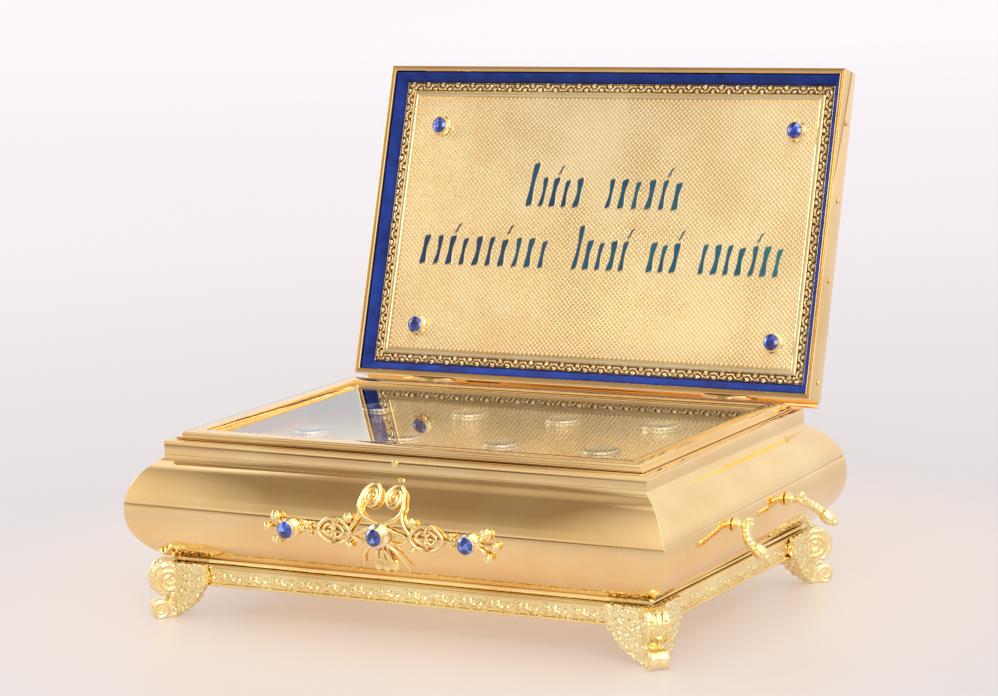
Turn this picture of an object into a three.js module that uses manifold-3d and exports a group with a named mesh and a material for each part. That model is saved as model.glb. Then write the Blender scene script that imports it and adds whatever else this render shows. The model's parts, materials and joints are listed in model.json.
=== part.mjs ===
// A gilded reliquary casket. A bombe body with a flat glazed top stands on a chased plinth and four
// cast scroll feet, with a jewelled ornament in front, two cast scroll arms on each end, and a
// velvet-lined lid that stands open on two stop hinges.
//
// Millimetres, +Z up, +X to the casket's right as one faces it, the front towards -Y. The floor is
// z = 0, and the origin is the middle of the footprint of the whole casket with its lid open.

import * as THREE from 'three';
import { mergeVertices } from 'three/addons/utils/BufferGeometryUtils.js';
import Module from 'manifold-3d';

const wasm = await Module();
wasm.setup();

// ---- Driving dimensions ----

const GAP = 0.3; // between pieces that touch
const DEG = Math.PI / 180;

// Plan of the casket at its rim, and its heights above the floor.
const HALF_X = 150;
const HALF_Y = 95;
const RIM_Z = 99;
const BAND_FOOT_Z = 91.2;
const BELLY_Z = 62;
const BELLY_REACH = 17.4;
const BODY_FOOT_Z = 34.4;
const BODY_WALL = 1.6;
const LEDGE_THICK = 1.6;
const LEDGE_INSET = 12.9;

// Plinth below the body.
const MOULDING_TOP_Z = 34.1;
const MOULDING_FOOT_Z = 31.7;
const MOULDING_SINK = 1.2;
const NECK_FOOT_Z = 31.4;
const LIP_FOOT_Z = 28.4;
const APRON_FOOT_Z = 18.9;
const PLINTH_WALL = 3;
const APRON_SINK = 0.4;
const LIP_REACH = 0.8;
const RELIEF_PITCH = 17;

// Feet.
const WING_LENGTH = 25.5;
const WING_THICK = 3.4;
const KNEE_RADIUS = 9.2;
const TOE_RADIUS = 5.3;
const FOOT_HALF_WIDTH = 6.2;

// Glazed top.
const RAIL_INSET = 7.3;
const RAIL_TOP_Z = 103;
const FLANGE_INSET = 5;
const FLANGE_TOP_Z = 100.5;
const GLASS_INSET = 17.1;
const GLASS_TOP_Z = 100.4;
const GLASS_THICK = 1.8;
const PLATE_TOP_Z = 93.4;
const PLATE_THICK = 1.2;
const CAPSULE_RADIUS = 11;
const CAPSULE_HEIGHT = 3;
const CAPSULE_PITCH_X = 61;
const CAPSULE_PITCH_Y = 70;

// Lid, in its closed pose.
const LID_HALF_X = 150.2;
const LID_HALF_Y = 94.5;
const LID_DEPTH = 15;
const LID_WALL = 3;
const LID_TOP_THICK = 1.5;
const LID_FIELD_INSET = 13;
const LID_FIELD_RISE = 0.8;
const VELVET_WIDTH = 5.3;
const PANEL_DEPTH = 7.4;
const PANEL_THICK = 1.2;
const BORDER_WIDTH = 5.6;
const FILLET_WIDTH = 2.6;
const STROKE_PITCH = 8.6;
const STROKE_WIDTH = 3.4;
const STROKE_HEIGHT = 17;
const TALL_STROKE = 25;
const STROKE_SLANT = 0.14;
const LID_OPEN = 108.6 * DEG;

// Hinges.
const HINGE_X = 97;
const HINGE_LENGTH = 28;
const AXIS_BEHIND = 4.7;
const AXIS_BELOW_RIM = 0.9;
const KNUCKLE_RADIUS = 2.6;
const PIN_RADIUS = 1;
const LEAF_THICK = 1.4;

// Stones and their bezels.
const STONE_RADIUS = 4.1;
const LID_STONE_X = 117.5;
const LID_STONE_SHIFT = 3.5;
const LID_STONE_Y = 61;
const LID_STONE_LOW = 2;
const LID_BEZEL_HEIGHT = 5;
const FRONT_STONE_X = 55.8;
const FRONT_STONE_Z = 61;
const ORNAMENT_THICK = 2.7;

// Scroll arms on the ends.
const ARM_Y = 32.6;

// ---- Derived places ----

const LID_RIM_Z = RIM_Z + GAP;
const AXIS_Y = HALF_Y + AXIS_BEHIND;
const AXIS_Z = RIM_Z - AXIS_BELOW_RIM;
const FRONT_REACH = 121.4; // front face of the front stones
const BACK_REACH = lidBackReach();
const SHIFT_Y = (FRONT_REACH - BACK_REACH) / 2;

function lidBackReach() {
  const up = LID_HALF_Y + AXIS_Y;
  const back = LID_RIM_Z + LID_DEPTH - AXIS_Z;
  const plain = -up * Math.cos(LID_OPEN) + back * Math.sin(LID_OPEN);
  const fieldUp = up - LID_FIELD_INSET;
  const fieldBack = back + LID_FIELD_RISE;
  const field = -fieldUp * Math.cos(LID_OPEN) + fieldBack * Math.sin(LID_OPEN);
  return AXIS_Y + Math.max(plain, field);
}

// ---- Materials ----

function metal(color, roughness) {
  return new THREE.MeshStandardMaterial({ color, roughness, metalness: 1 });
}

const POLISHED = metal(0xe9c27a, 0.08);
const CAST = metal(0xf2cf6a, 0.3);
const CHASED = metal(0xe3c377, 0.35);
const VELVET = new THREE.MeshStandardMaterial({ color: 0x143a9c, roughness: 0.95, metalness: 0 });
const STONE = new THREE.MeshStandardMaterial({ color: 0x1a3fc4, roughness: 0.05, metalness: 0 });
const GLASS = new THREE.MeshStandardMaterial({
  color: 0xeef3f6,
  roughness: 0.03,
  metalness: 0,
  transparent: true,
  opacity: 0.3,
});

// ---- Solids ----

function toSolid(geometry) {
  const bare = geometry.clone();
  for (const name of Object.keys(bare.attributes)) {
    if (name !== 'position') bare.deleteAttribute(name);
  }
  const merged = mergeVertices(bare, 1e-4);
  const vertProperties = new Float32Array(merged.attributes.position.array);
  const triVerts = new Uint32Array(merged.index.array);
  return new wasm.Manifold(new wasm.Mesh({ numProp: 3, vertProperties, triVerts }));
}

function toGeometry(solid) {
  const mesh = solid.getMesh();
  const geometry = new THREE.BufferGeometry();
  const count = mesh.numProp;
  const positions = new Float32Array((mesh.vertProperties.length / count) * 3);
  for (let i = 0; i < positions.length / 3; i += 1) {
    for (let k = 0; k < 3; k += 1) positions[3 * i + k] = mesh.vertProperties[count * i + k];
  }
  geometry.setAttribute('position', new THREE.BufferAttribute(positions, 3));
  geometry.setIndex(new THREE.BufferAttribute(new Uint32Array(mesh.triVerts), 1));
  geometry.computeVertexNormals();
  return geometry;
}

function join(geometries) {
  const solids = geometries.map(toSolid);
  return toGeometry(solids.reduce((whole, piece) => whole.add(piece)));
}

function cut(geometry, tools) {
  return toGeometry(tools.map(toSolid).reduce((whole, tool) => whole.subtract(tool), toSolid(geometry)));
}

// A closed surface from rings of points: each ring has the same count, and ends are capped when the
// rings don't close on themselves.
function loft(rings, closed) {
  const count = rings[0].length;
  const positions = rings.flat().flatMap((p) => [p.x, p.y, p.z]);
  const index = [];
  const spans = closed ? rings.length : rings.length - 1;
  for (let i = 0; i < spans; i += 1) {
    const a = i * count;
    const b = ((i + 1) % rings.length) * count;
    for (let j = 0; j < count; j += 1) {
      const k = (j + 1) % count;
      index.push(a + j, a + k, b + k, a + j, b + k, b + j);
    }
  }
  if (!closed) {
    const last = (rings.length - 1) * count;
    for (const [start, ring, flip] of [[0, rings[0], true], [last, rings[rings.length - 1], false]]) {
      for (const [a, b, c] of capTriangles(ring)) {
        index.push(start + a, start + (flip ? c : b), start + (flip ? b : c));
      }
    }
  }
  const geometry = new THREE.BufferGeometry();
  geometry.setAttribute('position', new THREE.Float32BufferAttribute(positions, 3));
  geometry.setIndex(index);
  return outward(geometry);
}

// Triangles over a flat ring of points, in the order the ring runs.
function capTriangles(ring) {
  const normal = new THREE.Vector3();
  for (let i = 0; i < ring.length; i += 1) {
    normal.add(new THREE.Vector3().crossVectors(ring[i], ring[(i + 1) % ring.length]));
  }
  normal.normalize();
  const across = new THREE.Vector3(1, 0, 0);
  if (Math.abs(normal.x) > 0.9) across.set(0, 1, 0);
  const u = new THREE.Vector3().crossVectors(normal, across).normalize();
  const v = new THREE.Vector3().crossVectors(normal, u);
  const flat = ring.map((p) => new THREE.Vector2(p.dot(u), p.dot(v)));
  return THREE.ShapeUtils.triangulateShape(flat, []);
}

// Turns every face round when the enclosed volume comes out negative.
function outward(geometry) {
  const p = geometry.attributes.position;
  const index = geometry.index.array;
  let volume = 0;
  const [a, b, c] = [new THREE.Vector3(), new THREE.Vector3(), new THREE.Vector3()];
  for (let i = 0; i < index.length; i += 3) {
    a.fromBufferAttribute(p, index[i]);
    b.fromBufferAttribute(p, index[i + 1]);
    c.fromBufferAttribute(p, index[i + 2]);
    volume += a.dot(b.cross(c));
  }
  if (volume < 0) {
    for (let i = 0; i < index.length; i += 3) [index[i], index[i + 1]] = [index[i + 1], index[i]];
  }
  return geometry;
}

// A section of [reach beyond the rim line, height] points carried round the rectangle with mitred
// corners. A section that closes on itself makes a frame.
function frameRing(section, halfX = HALF_X, halfY = HALF_Y) {
  const corners = [[1, 1], [-1, 1], [-1, -1], [1, -1]];
  const rings = corners.map(([sx, sy]) =>
    section.map(([reach, z]) => new THREE.Vector3(sx * (halfX + reach), sy * (halfY + reach), z)));
  return loft(rings, true);
}

// The same walk with a section that starts and ends on flat tops: a solid stack of rectangles.
function rectangleStack(levels, halfX = HALF_X, halfY = HALF_Y) {
  const rings = levels.map(([reach, z]) => {
    const x = halfX + reach;
    const y = halfY + reach;
    return [[x, y], [-x, y], [-x, -y], [x, -y]].map(([px, py]) => new THREE.Vector3(px, py, z));
  });
  return loft(rings, false);
}

function slab(x0, x1, y0, y1, z0, z1) {
  const geometry = new THREE.BoxGeometry(x1 - x0, y1 - y0, z1 - z0);
  return geometry.translate((x0 + x1) / 2, (y0 + y1) / 2, (z0 + z1) / 2);
}

function rodAlongX(radius, x0, x1, y, z, sides) {
  const geometry = new THREE.CylinderGeometry(radius, radius, x1 - x0, sides);
  return geometry.rotateZ(Math.PI / 2).translate((x0 + x1) / 2, y, z);
}

// A lathe solid about +Z; the profile of [radius, height] points starts and ends on the axis.
function turned(profile, sides) {
  const points = profile.map(([r, z]) => new THREE.Vector2(r, z));
  return new THREE.LatheGeometry(points, sides).rotateX(Math.PI / 2);
}

// A tube of changing radius along a curve, with flat ends.
function taperedTube(curve, radiusAt, steps, sides) {
  const frames = curve.computeFrenetFrames(steps, false);
  const rings = [];
  for (let i = 0; i <= steps; i += 1) {
    const centre = curve.getPointAt(i / steps);
    const radius = radiusAt(i / steps);
    const ring = [];
    for (let j = 0; j < sides; j += 1) {
      const angle = (2 * Math.PI * j) / sides;
      ring.push(centre.clone()
        .addScaledVector(frames.normals[i], radius * Math.cos(angle))
        .addScaledVector(frames.binormals[i], radius * Math.sin(angle)));
    }
    rings.push(ring);
  }
  return loft(rings, false);
}

function ball(radius, centre, across = 6, up = 4) {
  return new THREE.SphereGeometry(radius, across, up).translate(centre.x, centre.y, centre.z);
}

// ---- The bombe outline ----

// Three curves from the band's foot down to the body's foot: a small cove, the shoulder and the belly.
function bellyOutline() {
  const path = new THREE.Path();
  path.moveTo(0, BAND_FOOT_Z);
  path.bezierCurveTo(0.5, 88.6, 2.6, 88, 6, 85.6);
  path.bezierCurveTo(12, 81.2, BELLY_REACH, 72, BELLY_REACH, BELLY_Z);
  path.bezierCurveTo(BELLY_REACH, 50, 12.5, 42.5, 2, BODY_FOOT_Z);
  const [cove, shoulder, belly] = path.curves;
  return [...cove.getPoints(4), ...shoulder.getPoints(8).slice(1), ...belly.getPoints(8).slice(1)];
}

const OUTLINE = bellyOutline();

// Reach of the belly beyond the rim line at a height, and the outward direction of its surface there.
function bellyAt(z) {
  const below = OUTLINE.findIndex((p) => p.y <= z);
  const i = Math.min(Math.max(below, 1), OUTLINE.length - 1);
  const [high, low] = [OUTLINE[i - 1], OUTLINE[i]];
  const t = THREE.MathUtils.clamp((high.y - z) / (high.y - low.y), 0, 1);
  const run = new THREE.Vector2().subVectors(low, high).normalize();
  return { reach: high.x + t * (low.x - high.x), out: new THREE.Vector2(-run.y, run.x) };
}

// A point in front of the casket's front face, lifted off the belly along its normal.
function overFront(x, z, lift) {
  const { reach, out } = bellyAt(z);
  return new THREE.Vector3(x, -(HALF_Y + reach + out.x * lift), z + out.y * lift);
}

// ---- Body and plinth ----

function bodyShell() {
  const outer = [...OUTLINE].reverse().map((p) => [p.x, p.y]);
  outer.push([0, RIM_Z]);
  const floorZ = BODY_FOOT_Z + BODY_WALL;
  const hollow = [[bellyAt(floorZ).reach - BODY_WALL, floorZ]];
  for (const p of [...OUTLINE].reverse()) {
    if (p.y > floorZ + 0.5) hollow.push([p.x - BODY_WALL, p.y]);
  }
  hollow.push([-BODY_WALL, RIM_Z - LEDGE_THICK]);
  const [mouthX, mouthY] = [HALF_X - LEDGE_INSET, HALF_Y - LEDGE_INSET];
  const mouth = slab(-mouthX, mouthX, -mouthY, mouthY, RIM_Z - 2 * LEDGE_THICK, RIM_Z + 1);
  return cut(rectangleStack(outer), [rectangleStack(hollow), mouth]);
}

// The recessed neck between the body and the plinth, a little hollow in section.
function baseMoulding() {
  return frameRing([
    [-PLINTH_WALL - 1, MOULDING_FOOT_Z],
    [-MOULDING_SINK + 0.4, MOULDING_FOOT_Z],
    [-MOULDING_SINK, MOULDING_FOOT_Z + 0.5],
    [-MOULDING_SINK, MOULDING_TOP_Z - 0.5],
    [-MOULDING_SINK + 0.4, MOULDING_TOP_Z],
    [-PLINTH_WALL - 1, MOULDING_TOP_Z],
  ]);
}

// The plinth's section: a rounded lip, the chased apron and a bead along its foot.
function plinthSection() {
  return [
    [-PLINTH_WALL - 1, APRON_FOOT_Z],
    [0, APRON_FOOT_Z],
    [0.5, APRON_FOOT_Z + 0.6],
    [0, APRON_FOOT_Z + 1.3],
    [-APRON_SINK, APRON_FOOT_Z + 1.5],
    [-APRON_SINK, LIP_FOOT_Z],
    [0.4, LIP_FOOT_Z + 0.4],
    [LIP_REACH, LIP_FOOT_Z + 1.4],
    [0.4, NECK_FOOT_Z - 0.4],
    [-MOULDING_SINK, NECK_FOOT_Z],
    [-PLINTH_WALL - 1, NECK_FOOT_Z],
  ];
}

// One blossom between two leaves, as low pyramids that stand out from a wall facing +Y at y = 0.
function reliefMotif() {
  const blossom = new THREE.ConeGeometry(3.7, 1.7, 6).translate(0, 0.35, 0);
  const leaf = new THREE.ConeGeometry(2.1, 1.5, 4).scale(1.5, 1, 0.8).translate(0, 0.25, 0);
  const left = leaf.clone().rotateY(35 * DEG).translate(-6.4, 0, 1.6);
  const right = leaf.clone().rotateY(-35 * DEG).translate(6.4, 0, -1.6);
  return [blossom, left, right];
}

function basePlinth() {
  const middleZ = (APRON_FOOT_Z + 1.5 + LIP_FOOT_Z) / 2;
  const pieces = [frameRing(plinthSection())];
  const walls = [
    { turn: 0, half: HALF_X, away: HALF_Y },
    { turn: Math.PI, half: HALF_X, away: HALF_Y },
    { turn: Math.PI / 2, half: HALF_Y, away: HALF_X },
    { turn: -Math.PI / 2, half: HALF_Y, away: HALF_X },
  ];
  for (const { turn, half, away } of walls) {
    const count = Math.floor((2 * (half - WING_LENGTH - 1)) / RELIEF_PITCH);
    for (let i = 0; i < count; i += 1) {
      const along = (i - (count - 1) / 2) * RELIEF_PITCH;
      for (const piece of reliefMotif()) {
        pieces.push(piece.translate(along, away - APRON_SINK, middleZ).rotateZ(turn));
      }
    }
  }
  return join(pieces);
}

// ---- Feet ----

// Side view of a foot's scroll: [distance out along the diagonal from the plinth's corner, height].
function scrollOutline() {
  const knee = new THREE.Vector2(2.1, NECK_FOOT_Z - KNEE_RADIUS);
  const toe = new THREE.Vector2(8, TOE_RADIUS);
  const points = [];
  for (let i = 0; i <= 6; i += 1) {
    const angle = (100 - i * 29) * DEG;
    points.push([knee.x + KNEE_RADIUS * Math.cos(angle), knee.y + KNEE_RADIUS * Math.sin(angle)]);
  }
  points.push([2.2, 11.2], [2.3, 9.4], [4.4, 9.9]);
  for (let i = 0; i <= 5; i += 1) {
    const angle = (100 - i * 36) * DEG;
    points.push([toe.x + TOE_RADIUS * Math.cos(angle), toe.y + TOE_RADIUS * Math.sin(angle)]);
  }
  points.push([7, 0], [-2, 0], [-5.5, 4], [-7, 12], [-7, NECK_FOOT_Z - 0.2]);
  return points;
}

// The wing that laps one side of the apron: [distance along the apron from its corner, height].
function wingShape() {
  const shape = new THREE.Shape();
  shape.moveTo(-LIP_REACH - 2 * GAP, NECK_FOOT_Z - 0.1);
  shape.lineTo(WING_LENGTH, NECK_FOOT_Z - 0.1);
  shape.lineTo(WING_LENGTH, 23.5);
  shape.quadraticCurveTo(WING_LENGTH - 0.5, 18.5, 21, 14.8);
  shape.quadraticCurveTo(16.5, 7, 3, 0.6);
  shape.lineTo(-LIP_REACH - 2 * GAP, 0.6);
  return shape;
}

// A foot for the corner at +X, +Y, with that corner of the apron at the local origin.
function footGeometry() {
  const stations = [[-1, 0.88], [-0.7, 1], [0, 0.96], [0.7, 1], [1, 0.88]];
  const rings = stations.map(([across, swell]) => scrollOutline().map(([out, z]) => {
    const width = across * FOOT_HALF_WIDTH * (z > 12 ? 1 : 0.86);
    const s = out > 0 ? out * swell : out;
    return new THREE.Vector3((s - width) * Math.SQRT1_2, (s + width) * Math.SQRT1_2, z);
  }));
  const clear = LIP_REACH + GAP;
  const back = 0.5;
  const plate = new THREE.ExtrudeGeometry(wingShape(), {
    depth: WING_THICK + back,
    bevelEnabled: false,
    curveSegments: 4,
  });
  plate.rotateX(Math.PI / 2);
  const backWing = plate.clone().rotateZ(Math.PI).translate(0, clear - back, 0);
  const sideWing = plate.clone().rotateZ(-Math.PI / 2).translate(clear + WING_THICK, 0, 0);
  const plinthCorner = slab(-60, clear, -60, clear, APRON_FOOT_Z - GAP, NECK_FOOT_Z + 5);
  return cut(join([loft(rings, false), backWing, sideWing]), [plinthCorner]);
}

// ---- Glazed top ----

function glassFrame() {
  const footZ = RIM_Z + GAP;
  const lipTopZ = GLASS_TOP_Z - GLASS_THICK - GAP;
  const railInner = GLASS_INSET - GAP;
  const lipInner = railInner + 2.2;
  const spigot = LEDGE_INSET + GAP;
  return frameRing([
    [-FLANGE_INSET, footZ],
    [-FLANGE_INSET, FLANGE_TOP_Z],
    [-RAIL_INSET, FLANGE_TOP_Z],
    [-RAIL_INSET, RAIL_TOP_Z - 0.4],
    [-RAIL_INSET - 0.4, RAIL_TOP_Z],
    [-railInner + 0.3, RAIL_TOP_Z],
    [-railInner, RAIL_TOP_Z - 0.3],
    [-railInner, lipTopZ],
    [-lipInner, lipTopZ],
    [-lipInner, lipTopZ - 0.8],
    [-spigot, lipTopZ - 0.8],
    [-spigot, footZ],
  ]);
}

function glassPane() {
  const [x, y] = [HALF_X - GLASS_INSET, HALF_Y - GLASS_INSET];
  return slab(-x, x, -y, y, GLASS_TOP_Z - GLASS_THICK, GLASS_TOP_Z);
}

function capsulePlaces() {
  const places = [];
  for (const row of [-0.5, 0.5]) {
    for (const column of [-1.5, -0.5, 0.5, 1.5]) {
      places.push([column * CAPSULE_PITCH_X, row * CAPSULE_PITCH_Y]);
    }
  }
  return places;
}

// The plate under the glass, with a round collar cast on it for each relic capsule.
function relicPlate() {
  const inset = BODY_WALL + GAP;
  const [x, y] = [HALF_X - inset, HALF_Y - inset];
  const pieces = [slab(-x, x, -y, y, PLATE_TOP_Z - PLATE_THICK, PLATE_TOP_Z)];
  const collar = turned([
    [0, -0.5],
    [CAPSULE_RADIUS, -0.5],
    [CAPSULE_RADIUS - 0.5, CAPSULE_HEIGHT],
    [CAPSULE_RADIUS - 1.8, CAPSULE_HEIGHT],
    [CAPSULE_RADIUS - 1.8, 1],
    [0, 1],
  ], 12);
  for (const [cx, cy] of capsulePlaces()) {
    pieces.push(collar.clone().translate(cx, cy, PLATE_TOP_Z));
  }
  return join(pieces);
}

function capsuleGlass() {
  const radius = CAPSULE_RADIUS - 1.8 - GAP;
  return turned([
    [0, 1 + GAP],
    [radius, 1 + GAP],
    [radius, CAPSULE_HEIGHT - 0.4],
    [0, CAPSULE_HEIGHT + 0.6],
  ], 12);
}

// ---- Stones ----

// A tall cup that holds a stone; its foot is at z = 0.
function bezel(footRadius, height) {
  const wall = STONE_RADIUS + GAP;
  return turned([
    [0, 0],
    [footRadius, 0],
    [wall + 0.5, 1.5],
    [wall + 0.5, height - 0.2],
    [wall, height - 0.2],
    [wall, height - 1.9],
    [0, height - 1.9],
  ], 10);
}

// A round brilliant whose table is at z = 0.
function stone() {
  return turned([
    [0, -1.6],
    [0.75 * STONE_RADIUS, -1.6],
    [STONE_RADIUS, -0.9],
    [STONE_RADIUS, -0.6],
    [0.62 * STONE_RADIUS, 0],
    [0, 0],
  ], 8);
}

// ---- Front ornament ----

function frontCurve(points, lift, closed = false) {
  return new THREE.CatmullRomCurve3(points.map(([x, z]) => overFront(x, z, lift)), closed);
}

// One ribbon of the ornament: a spiral on top, a bow out to one side, across the middle behind the
// stone, and a foot that flares on the other side.
function ribbonPoints(side) {
  const points = [];
  const [eyeX, eyeZ] = [6.8, 79];
  for (let i = 0; i <= 12; i += 1) {
    const angle = (-190 + i * 45) * DEG;
    const radius = 1.2 + (4.4 * i) / 12;
    points.push([eyeX - radius * Math.cos(angle), eyeZ + radius * Math.sin(angle)]);
  }
  points.push([12.4, 73], [8.6, 68.5], [1, 65.5], [-6, 61], [-10.5, 54], [-14, 44]);
  return points.map(([x, z]) => [side * x, z]);
}

function cartouchePoints(side) {
  const [middleX, halfLength, halfHeight] = [28.5, 10, 6];
  const points = [];
  for (let i = 0; i < 12; i += 1) {
    const angle = i * 30 * DEG;
    const rise = Math.sign(Math.sin(angle)) * Math.abs(Math.sin(angle)) ** 1.4;
    points.push([side * (middleX + halfLength * Math.cos(angle)), FRONT_STONE_Z + halfHeight * rise]);
  }
  return points;
}

function frontPad(x, radius) {
  const near = -(HALF_Y + BELLY_REACH) - GAP;
  const pad = new THREE.CylinderGeometry(radius, radius, ORNAMENT_THICK, 10);
  return pad.translate(x, near - ORNAMENT_THICK / 2, FRONT_STONE_Z);
}

function frontOrnament() {
  const pieces = [frontPad(0, 6.4)];
  const lift = 1.5;
  const seed = (x, z, radius) => ball(radius, overFront(x, z, radius + GAP), 6, 3);
  for (const side of [-1, 1]) {
    pieces.push(frontPad(side * FRONT_STONE_X, 5.4));
    const ribbon = frontCurve(ribbonPoints(side), side > 0 ? lift + 0.2 : lift + 0.4);
    pieces.push(taperedTube(ribbon, (t) => 0.75 + 0.45 * Math.sin(Math.PI * t), 30, 4));
    const loop = frontCurve(cartouchePoints(side), lift, true);
    const hoop = [];
    for (let i = 0; i < 14; i += 1) {
      const centre = loop.getPointAt(i / 14);
      const spoke = centre.clone().sub(overFront(side * 28.5, FRONT_STONE_Z, lift)).normalize();
      const across = new THREE.Vector3(0, 1, 0).addScaledVector(spoke, -spoke.y).normalize();
      hoop.push([0, 1, 2, 3].map((j) => centre.clone()
        .addScaledVector(spoke, Math.cos(j * 90 * DEG))
        .addScaledVector(across, Math.sin(j * 90 * DEG))));
    }
    pieces.push(loft(hoop, true));
    const stem = frontCurve([[4, 61], [20, 61], [37, 61], [52, 61]].map(([x, z]) => [side * x, z]), lift);
    pieces.push(taperedTube(stem, () => 1, 3, 4));
    const leaf = new THREE.SphereGeometry(1, 6, 3).scale(7.4, 1.3, 3.4);
    const seat = overFront(side * 28.5, FRONT_STONE_Z, 1.7);
    pieces.push(leaf.translate(seat.x, seat.y, seat.z));
    pieces.push(seed(side * 18.6, 67.2, 2.3), seed(side * 18.2, 54.2, 1.8));
    pieces.push(seed(side * 46.4, 63.2, 2.3), seed(side * 46.4, 58.8, 2.3));
    const neck = frontCurve([[18.6, 67.2], [17, 63.5], [18.2, 54.2]].map(([x, z]) => [side * x, z]), lift);
    pieces.push(taperedTube(neck, () => 0.9, 4, 4));
    for (const [x, z, radius] of [[65.2, 66.2, 2.7], [70.8, 60.4, 2.1], [65.6, 53.8, 2.4]]) {
      pieces.push(seed(side * x, z, radius));
      const stalk = frontCurve([[side * 58, FRONT_STONE_Z], [side * x, z]], lift);
      pieces.push(taperedTube(stalk, () => 0.9, 1, 4));
    }
  }
  for (const [x, z] of [[-8.4, 46], [-4.2, 47.2], [0, 47.6], [4.2, 47.2], [8.4, 46]]) {
    const rib = frontCurve([[0.35 * x, 57], [x, z]], lift + 0.6);
    pieces.push(taperedTube(rib, (t) => 0.8 + t, 1, 4), seed(x, z, 2));
  }
  return join(pieces);
}

// ---- Scroll arms on the ends ----

// One arm for the +X end and its +Y side: a collar on the belly, a blossom, and a limb that bows
// away and down to a bud. The collar's seat on the belly is the local origin.
function armGeometry() {
  const out = (profile, sides) => turned(profile, sides).rotateY(Math.PI / 2);
  const collar = out([
    [0, GAP], [3.6, GAP], [4, 1.2], [2.3, 2.4], [3, 4], [2, 5], [1.9, 9], [0, 9],
  ], 8);
  const petals = [0, 1, 2, 3, 4].map((i) => {
    const angle = (90 + 72 * i) * DEG;
    return ball(1.9, new THREE.Vector3(9.6, 2.2 * Math.cos(angle), 0.5 + 2.2 * Math.sin(angle)), 5, 3);
  });
  const limb = new THREE.CatmullRomCurve3([
    new THREE.Vector3(9.4, 0.5, 0),
    new THREE.Vector3(9.8, 5.2, -2.6),
    new THREE.Vector3(12.6, 9.4, -5.6),
    new THREE.Vector3(17.4, 10.8, -9.8),
    new THREE.Vector3(22.6, 10.2, -13),
  ]);
  const thickness = (t) => 1.5 + 1.7 * Math.max(0, Math.sin((t - 0.45) * 2.2)) - 0.9 * t * (1 - t);
  const tube = taperedTube(limb, thickness, 9, 6);
  const bud = ball(2.9, new THREE.Vector3(23.2, 10.1, -13.3), 6, 4);
  return join([collar, ...petals, tube, bud]);
}

function armAt(sideX, sideY) {
  return outward(armGeometry().scale(sideX, sideY, 1));
}

// ---- Hinges ----

// Each hinge has three knuckles: the outer two belong to the body's leaf, the middle one to the lid's.
function bodyLeaf() {
  const [half, third] = [HINGE_LENGTH / 2, HINGE_LENGTH / 6];
  const faceY = HALF_Y + GAP;
  const topZ = AXIS_Z - 0.7;
  const pieces = [slab(-half, half, faceY, faceY + LEAF_THICK, BAND_FOOT_Z + 0.6, topZ)];
  for (const [x0, x1] of [[-half, -third - GAP], [third + GAP, half]]) {
    pieces.push(rodAlongX(KNUCKLE_RADIUS, x0, x1, AXIS_Y, AXIS_Z, 12));
    pieces.push(slab(x0, x1, faceY, AXIS_Y, AXIS_Z - KNUCKLE_RADIUS + 0.2, topZ));
  }
  return cut(join(pieces), [rodAlongX(PIN_RADIUS + GAP, -half - 1, half + 1, AXIS_Y, AXIS_Z, 10)]);
}

function lidLeaf() {
  const [half, third] = [HINGE_LENGTH / 2, HINGE_LENGTH / 6];
  const faceY = LID_HALF_Y + GAP;
  const footZ = AXIS_Z + 1.6;
  const pieces = [
    slab(-half, half, faceY, faceY + LEAF_THICK, footZ, footZ + 7),
    slab(-third, third, faceY, AXIS_Y, footZ, AXIS_Z + KNUCKLE_RADIUS - 0.2),
    rodAlongX(KNUCKLE_RADIUS, -third, third, AXIS_Y, AXIS_Z, 12),
  ];
  return cut(join(pieces), [rodAlongX(PIN_RADIUS + GAP, -half, half, AXIS_Y, AXIS_Z, 10)]);
}

// ---- Lid, in its closed pose ----

function lidShell() {
  const topZ = LID_RIM_Z + LID_DEPTH;
  const box = slab(-LID_HALF_X, LID_HALF_X, -LID_HALF_Y, LID_HALF_Y, LID_RIM_Z, topZ);
  const field = rectangleStack([
    [-LID_FIELD_INSET, topZ - 0.5],
    [-LID_FIELD_INSET, topZ],
    [-LID_FIELD_INSET - 1.5, topZ + LID_FIELD_RISE],
  ], LID_HALF_X, LID_HALF_Y);
  const [x, y] = [LID_HALF_X - LID_WALL, LID_HALF_Y - LID_WALL];
  const hollow = slab(-x, x, -y, y, LID_RIM_Z - 1, topZ - LID_TOP_THICK);
  return cut(join([box, field]), [hollow]);
}

// The velvet lining: a padded tray whose edge slopes from the rim in to the panel.
function lidVelvet() {
  const [x, y] = [LID_HALF_X - LID_WALL - GAP, LID_HALF_Y - LID_WALL - GAP];
  const topZ = LID_RIM_Z + LID_DEPTH - LID_TOP_THICK - GAP;
  const tray = slab(-x, x, -y, y, LID_RIM_Z + 0.8, topZ);
  const panelEdge = -LID_WALL - VELVET_WIDTH + 0.1;
  const recess = rectangleStack([
    [-LID_WALL - 0.5, LID_RIM_Z],
    [-LID_WALL - 0.9, LID_RIM_Z + 0.8],
    [-LID_WALL - 2.6, LID_RIM_Z + 2],
    [panelEdge, LID_RIM_Z + PANEL_DEPTH - 1],
    [panelEdge, LID_RIM_Z + PANEL_DEPTH + PANEL_THICK + GAP],
  ], LID_HALF_X, LID_HALF_Y);
  return cut(tray, [recess]);
}

// Rows of plain slanted strokes. Per row: its foot line and, for each word, its start, its end and
// the height of its first stroke.
const STROKE_ROWS = [
  { y: -12, words: [[-52, -13, TALL_STROKE], [0, 53, STROKE_HEIGHT]] },
  {
    y: 25,
    words: [
      [-121, -30, STROKE_HEIGHT],
      [-17, 22, TALL_STROKE],
      [33, 55, STROKE_HEIGHT],
      [66, 121, STROKE_HEIGHT],
    ],
  },
];

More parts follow.
